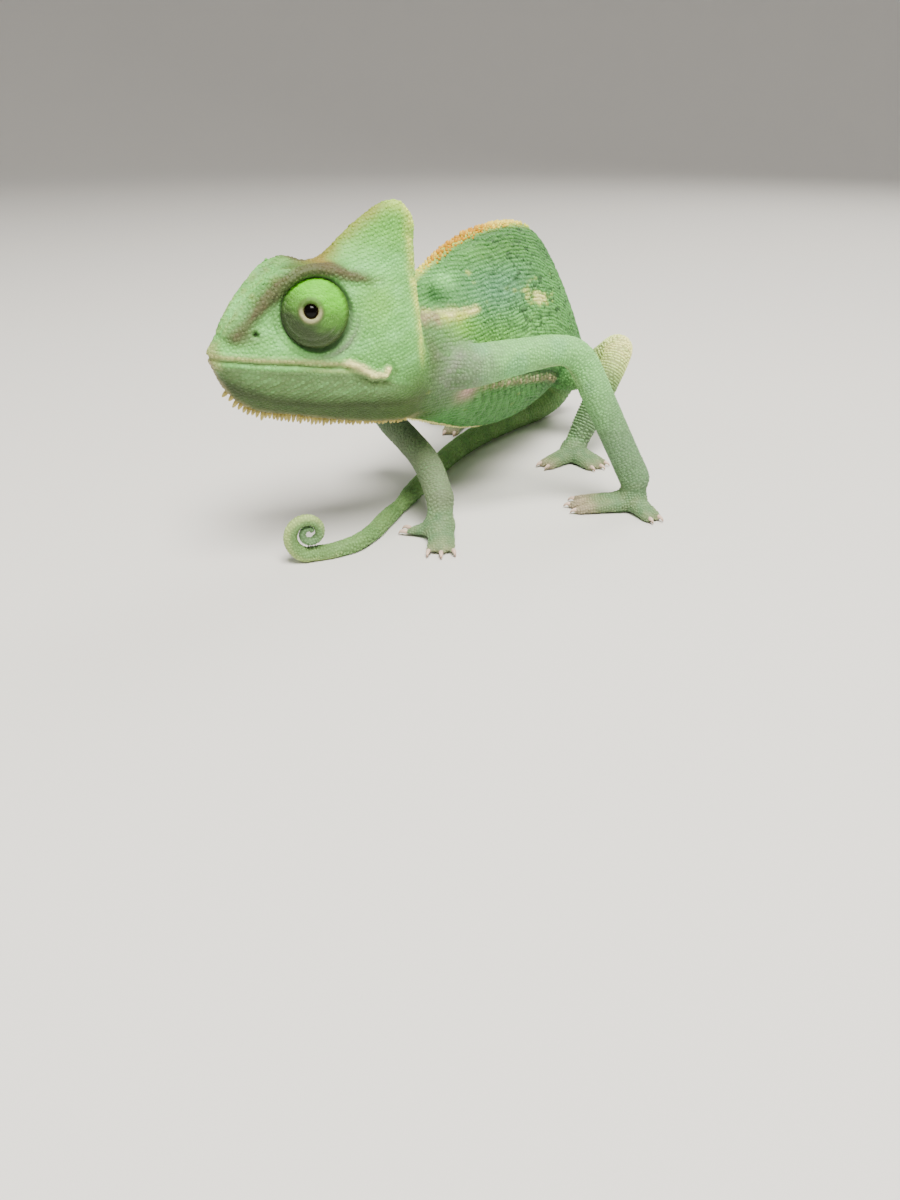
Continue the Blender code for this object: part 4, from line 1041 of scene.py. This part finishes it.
for name, mine in groups.items():
    grow("scales_" + name, roots[mine], out[mine], along[mine], step_half[mine], row_half[mine],
         tall[mine], GRANULE, scale_colours[mine], scale_finish)

# ---------------------------------------------------------------------------------------------
# Crests.  Rows of soft cones: orange and yellow beads along the ridge of the back, and a beard
# of longer, pale cones hanging from the chin along the throat, which go on as low points down
# the middle of the belly.  They are the same horny skin as the scales, drawn out to points.
CONE = ((1, 0), (0.9, 0.35), (0.64, 0.75), (0.24, 1))
BEARD = tint(184, 170, 96)
ORANGE = tint(198, 142, 18)
STRAW = tint(240, 222, 92)
UP = Vector((0, 0, 1))


def down_to_skin(place, direction):
    """The place where a line from inside the body leaves the skin."""
    return skin_tree.ray_cast(place, direction)[0] or place


def add_bead(root, direction, radius, length, colour):
    cones.append((root, direction, radius, length, colour * (0.88 + 0.24 * RNG.random())))


def gather_cones(name):
    """Grow one crest of all the beads that were added since the last."""
    roots, out, radii, lengths, colours = (np.array(values) for values in zip(*cones))
    out = unit(out)
    lean = np.cross(out, np.array((1, 0, 0.05)))
    grow(name, roots, out, unit(lean), radii, radii * 0.85, lengths, CONE,
         np.clip(colours, 0, 1), scale_finish, sink=0.15)
    cones.clear()


cones = []


for row, thick in ((0, 1), (1, 0.85), (-1, 0.85), (2, 0.6), (-2, 0.6)):
    y = -3 + 0.45 * (row % 2)
    while y < 58:
        y += (0.8 + 0.3 * RNG.random()) * (1 if y < 34 else 1.3)
        if abs(row) == 2 and not 4 < y < 31 or abs(row) == 1 and not 0 < y < 40:
            continue
        size = thick * float(0.4 + 0.6 * ease(y, -3, 5) * (1 - 0.75 * ease(y, 30, 48)))
        size *= 0.8 + 0.4 * RNG.random()
        before, back, after = (row_at(TRUNK_ROWS, y + step)[1] for step in (-0.5, 0, 0.5))
        ridge = Vector((0.42 * row + 0.12 * RNG.standard_normal(), y, back - 3))
        gold = float(ease(y, 1, 7) * (1 - ease(y, 19, 30)))
        hue = STRAW + (ORANGE - STRAW) * np.clip(gold + 0.3 * RNG.standard_normal(), 0, 1)
        hue = hue + (LIME - hue) * float(0.7 * ease(y, 34, 44))
        add_bead(down_to_skin(ridge, UP), Vector((row * 0.5, before - after, 1)),
                 0.4 * size + 0.05, 0.62 * size, hue)
gather_cones("dorsal_crest")

ahead = 26.4
while ahead > -3.6:
    share = (26.4 - ahead) / 30
    before, keel, after = (row_at(HEAD_ROWS, ahead + step)[0] for step in (-0.3, 0, 0.3))
    down = head_point(1.33 * (after - before) + 0.1, 0, -1) - head_point(0, 0, 0)
    root = down_to_skin(head_point(ahead, 0.12 * RNG.standard_normal(), keel + 3), -UP)
    length = 0.62 + 0.62 * sin(pi * min(0.15 + share * 1.1, 1)) - 0.1 * share
    add_bead(root, down, 0.4, length * (0.75 + 0.45 * RNG.random()), BEARD)
    ahead -= 0.54 + 0.2 * RNG.random()
for y in np.arange(-6, 46, 0.85):
    before, belly, after = (row_at(TRUNK_ROWS, y + step)[0] for step in (-0.5, 0, 0.5))
    root = down_to_skin(Vector((0, y, belly + 3)), -UP)
    if abs(root.z - belly) < 0.8:
        add_bead(root, Vector((0, after - before, -1)), 0.32, 0.42, CREAM)
gather_cones("gular_crest")

# ---------------------------------------------------------------------------------------------
# Eyes.  Each eye is a ball hidden in a turret of scaly lid that turns with it, with a round
# opening only as wide as the pupil.  The turret is a profile spun round the line of sight: the
# opening, a soft fleshy rim, and the dome.  The eyeball is wet and dark, with a thin bronze iris.
GAZE = (0.38, 0.9, 0.21)                   # forward, outward, up
# the turret's painted light: a lit green, a middle green and a painted shade green
TURRET_LIT = tint(96, 196, 14)
TURRET_MIDDLE = tint(86, 142, 52)
TURRET_SHADED = tint(60, 76, 46)
LID_RIM = tint(150, 150, 108)
PUPIL, IRIS = tint(14, 12, 11), tint(58, 46, 30)
BALL_RADIUS, BALL_DEPTH = 1.42, 3.72       # the eyeball, and how far out it sits in the turret
LID_GRANULE = (0.235, 0.2, 0.055)          # half length, half width, height
LID_PROFILE = (        # distance from the line of sight, height on it from the turret's centre
    (1.04, 4.45), (1.09, 4.95), (1.18, 5.14), (1.32, 5.25), (1.5, 5.26), (1.72, 5.12), (1.92, 4.92))


def turret_colour(places, centre, sight):
    """Painted light and shade: lime where light falls from above, dark green below and olive round the base,
    with a pale rim round the opening.
    """
    offset = (places - np.array(centre)) / EYE_RADIUS
    aside = lengths_of(np.cross(offset, np.array(sight))) * EYE_RADIUS
    grain = roughness(places * (1, 1, 2.5), 1.6, 4)
    ahead = offset @ np.array(FORWARD)
    # where the painted light falls on the dome: lighter higher up and further back, painted shade in front
    # and below
    light = offset[:, 2] - 0.26 * ahead - 0.6 * np.maximum(ahead - 0.25, 0) + 0.12 * grain
    wrinkle = ripple(aside, 0.9, grain) * ease(aside, 3, 3.8) * ease(light, 0, -0.3)
    colour = coats(TURRET_MIDDLE,
                   (TURRET_LIT, ease(light, 0, 0.62)),
                   (TURRET_SHADED, ease(light, 0.12, -0.62)),
                   # painted shade round the turret's base, under the brow
                   (OLIVE * 0.8, 0.75 * ease(aside, 4.55, 5.1)))
    return coats(colour * (1 + 0.22 * roughness(places * (0.5, 0.5, 2.6), 1.1, 8))[:, None],
                 (MAUVE, 0.22 * ease(wrinkle, 0.2, 1)),
                 (OLIVE, 0.8 * ease(aside, 2.2, 1.8)),
                 (LID_RIM, ease(aside, 1.82, 1.52) * ease(offset[:, 2], 0.38, 0.16)))


wet, shader = plain_finish("wet_eye", 0.08, 0.12)
own_tint = wet.node_tree.nodes.new("ShaderNodeAttribute")
own_tint.attribute_name = "hide"
wet.node_tree.links.new(own_tint.outputs["Color"], shader.inputs["Base Color"])
for side, word in ((1, "left"), (-1, "right")):
    centre = head_point(EYE_CENTRE[0], side * EYE_CENTRE[1], EYE_CENTRE[2])
    sight = (FORWARD * GAZE[0] + LEFTWARD * side * GAZE[1] + Vector((0, 0, GAZE[2]))).normalized()
    across = sight.orthogonal().normalized()
    arc = [(EYE_RADIUS * sin(a), EYE_RADIUS * cos(a)) for a in np.radians(np.arange(25, 126, 4))]
    turret = bmesh.new()
    profile = [turret.verts.new(centre + across * wide + sight * high) for wide, high in (*LID_PROFILE, *arc)]
    edges = [turret.edges.new(pair) for pair in zip(profile, profile[1:])]
    bmesh.ops.spin(turret, geom=profile + edges, cent=centre, axis=sight, angle=2 * pi, steps=56,
                   use_merge=True)
    bmesh.ops.remove_doubles(turret, verts=turret.verts, dist=0.001)
    bmesh.ops.holes_fill(turret, edges=[edge for edge in turret.edges if edge.is_boundary], sides=60)
    bmesh.ops.recalc_face_normals(turret, faces=turret.faces)
    turret = fresh_object("turret_" + word, turret)
    paint(turret.data, turret_colour(positions(turret.data), centre, sight))
    turret.data.materials.append(skin_finish)
    into_place(turret)
    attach(turret, "root")
    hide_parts("eye_turret_" + word)

    beads, facing, rows = [], [], []
    for angle in np.arange(26, 100, 4.6):
        ring = 2 * pi * EYE_RADIUS * sin(radians(angle))
        number = int(ring / 0.44)
        for k in range(number):
            turn = (k + 0.5 * (len(rows) % 2) + 0.3 * RNG.random()) * 2 * pi / number
            swing = Matrix.Rotation(turn, 3, sight) @ across
            direction = (sight * cos(radians(angle)) + swing * sin(radians(angle))).normalized()
            beads.append(centre + direction * EYE_RADIUS)
            facing.append(direction)
            rows.append(sight.cross(direction).normalized())
    beads, facing, rows = np.array(beads), np.array(facing), np.array(rows)
    # the granules take the same painted light and shade as the turret under them
    shades = turret_colour(beads, centre, sight) * (0.94 + 0.12 * RNG.random(len(beads)))[:, None]
    length, width, tall = (np.full(len(beads), size) for size in LID_GRANULE)
    grow("turret_scales_" + word, beads, facing, rows, length, width, tall, GRANULE,
         np.clip(shades, 0, 1), scale_finish)

    ball = bmesh.new()
    seat = centre + sight * BALL_DEPTH
    place = Matrix.Translation(seat) @ sight.to_track_quat("Z", "Y").to_matrix().to_4x4()
    bmesh.ops.create_uvsphere(ball, u_segments=40, v_segments=24, radius=BALL_RADIUS, matrix=place)
    ball = fresh_object("eye_" + word, ball)
    aside = lengths_of(np.cross(positions(ball.data) - np.array(seat), np.array(sight)))
    paint(ball.data, coats(PUPIL, (IRIS, ease(aside, 0.86, 1))))
    ball.data.materials.append(wet)
    into_place(ball)
    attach(ball, "root")
    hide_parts("eyeball_" + word)

# ---------------------------------------------------------------------------------------------
# Claws.  One thin, hooked claw on each toe, of pale horn that darkens to its point, growing out
# of the last scales above the toe's tip and bending down to just over the floor.
CLAW_ROWS = (          # past the toe's tip, height, radius
    (0.25, 0.95, 0.4), (0.65, 1.02, 0.36), (1, 0.98, 0.3), (1.3, 0.84, 0.22), (1.52, 0.62, 0.13),
    (1.62, 0.42, 0.05))
claws = bmesh.new()
for foot in FEET:
    for path in toe_paths(foot):
        knuckle, tip = Vector(path[-2][:3]), Vector(path[-1][:3])
        go = Vector((tip.x - knuckle.x, tip.y - knuckle.y, 0)).normalized()
        add_tube(claws, [(tip.x + go.x * reach, tip.y + go.y * reach, z, radius)
                         for reach, z, radius in CLAW_ROWS], sides=10)
bmesh.ops.recalc_face_normals(claws, faces=claws.faces)
claws = fresh_object("claws", claws)
claw_height = positions(claws.data)[:, 2]
paint(claws.data, coats(tint(214, 186, 168), (tint(120, 84, 66), ease(claw_height, 0.95, 0.45))))
claws.data.materials.append(hide_finish("claw_horn", 600, 0.1, 0.35))
into_place(claws)
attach(claws, "root")

# ---------------------------------------------------------------------------------------------
# Floor, light and camera: a plain pale floor that sweeps up all round into a low wall, a soft
# light above and two weaker ones, and the camera a hand's length away, a little above the head.
floor = bmesh.new()
sweep = [(0.9 + 0.7 * sin(a), 0.7 - 0.7 * cos(a)) for a in np.radians(np.arange(6, 91, 6))]
sweep = [floor.verts.new((wide, 0, high)) for wide, high in ((0, 0), (0.9, 0), *sweep, (1.6, 1.4))]
edges = [floor.edges.new(pair) for pair in zip(sweep, sweep[1:])]
bmesh.ops.spin(floor, geom=sweep + edges, cent=(0, 0, 0), axis=UP, angle=2 * pi, steps=72, use_merge=True)
bmesh.ops.remove_doubles(floor, verts=floor.verts, dist=0.0001)
bmesh.ops.reverse_faces(floor, faces=[face for face in floor.faces if face.normal.z < -0.01])
floor = fresh_object("floor", floor)
floor.data.shade_smooth()
floor_finish, shader = plain_finish("pale_floor", 0.8)
shader.inputs["Base Color"].default_value = (0.72, 0.71, 0.69, 1)
floor.data.materials.append(floor_finish)

LAMPS = (              # name, place, size, power
    ("key", (0.16, -0.16, 0.55), 0.3, 9), ("fill", (-0.55, -0.3, 0.35), 0.4, 1),
    ("rim", (0.05, 0.55, 0.45), 0.35, 2.5))
CAMERA_PLACE = (0.075416, -0.149507, 0.06685)
CAMERA_TILT, CAMERA_TURN = radians(61), radians(30)
for name, place, size, power in LAMPS:
    lamp = bpy.data.lights.new(name, "AREA")
    lamp.size = size
    lamp.energy = power
    lamp.color = (1, 0.96, 0.88)
    holder = bpy.data.objects.new(name, lamp)
    holder.location = place
    holder.rotation_euler = (Vector((0, 0, 0.02)) - Vector(place)).to_track_quat("-Z", "Y").to_euler()
    bpy.context.scene.collection.objects.link(holder)
world = bpy.data.worlds.new("studio")
world.use_nodes = True
sky = world.node_tree.nodes["Background"]
sky.inputs["Color"].default_value = (1, 0.98, 0.95, 1)
sky.inputs["Strength"].default_value = 0.32
bpy.context.scene.world = world

camera = bpy.data.objects.new("camera", bpy.data.cameras.new("camera"))
camera.data.sensor_fit = "VERTICAL"
camera.data.sensor_height = 34.6133
camera.data.lens = 26
camera.data.clip_start = 0.005
camera.location = CAMERA_PLACE
camera.rotation_euler = (CAMERA_TILT, 0, CAMERA_TURN)
bpy.context.scene.collection.objects.link(camera)
bpy.context.scene.camera = camera

into_place(skin)
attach(skin, "root")
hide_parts(*FLESH_NODES)
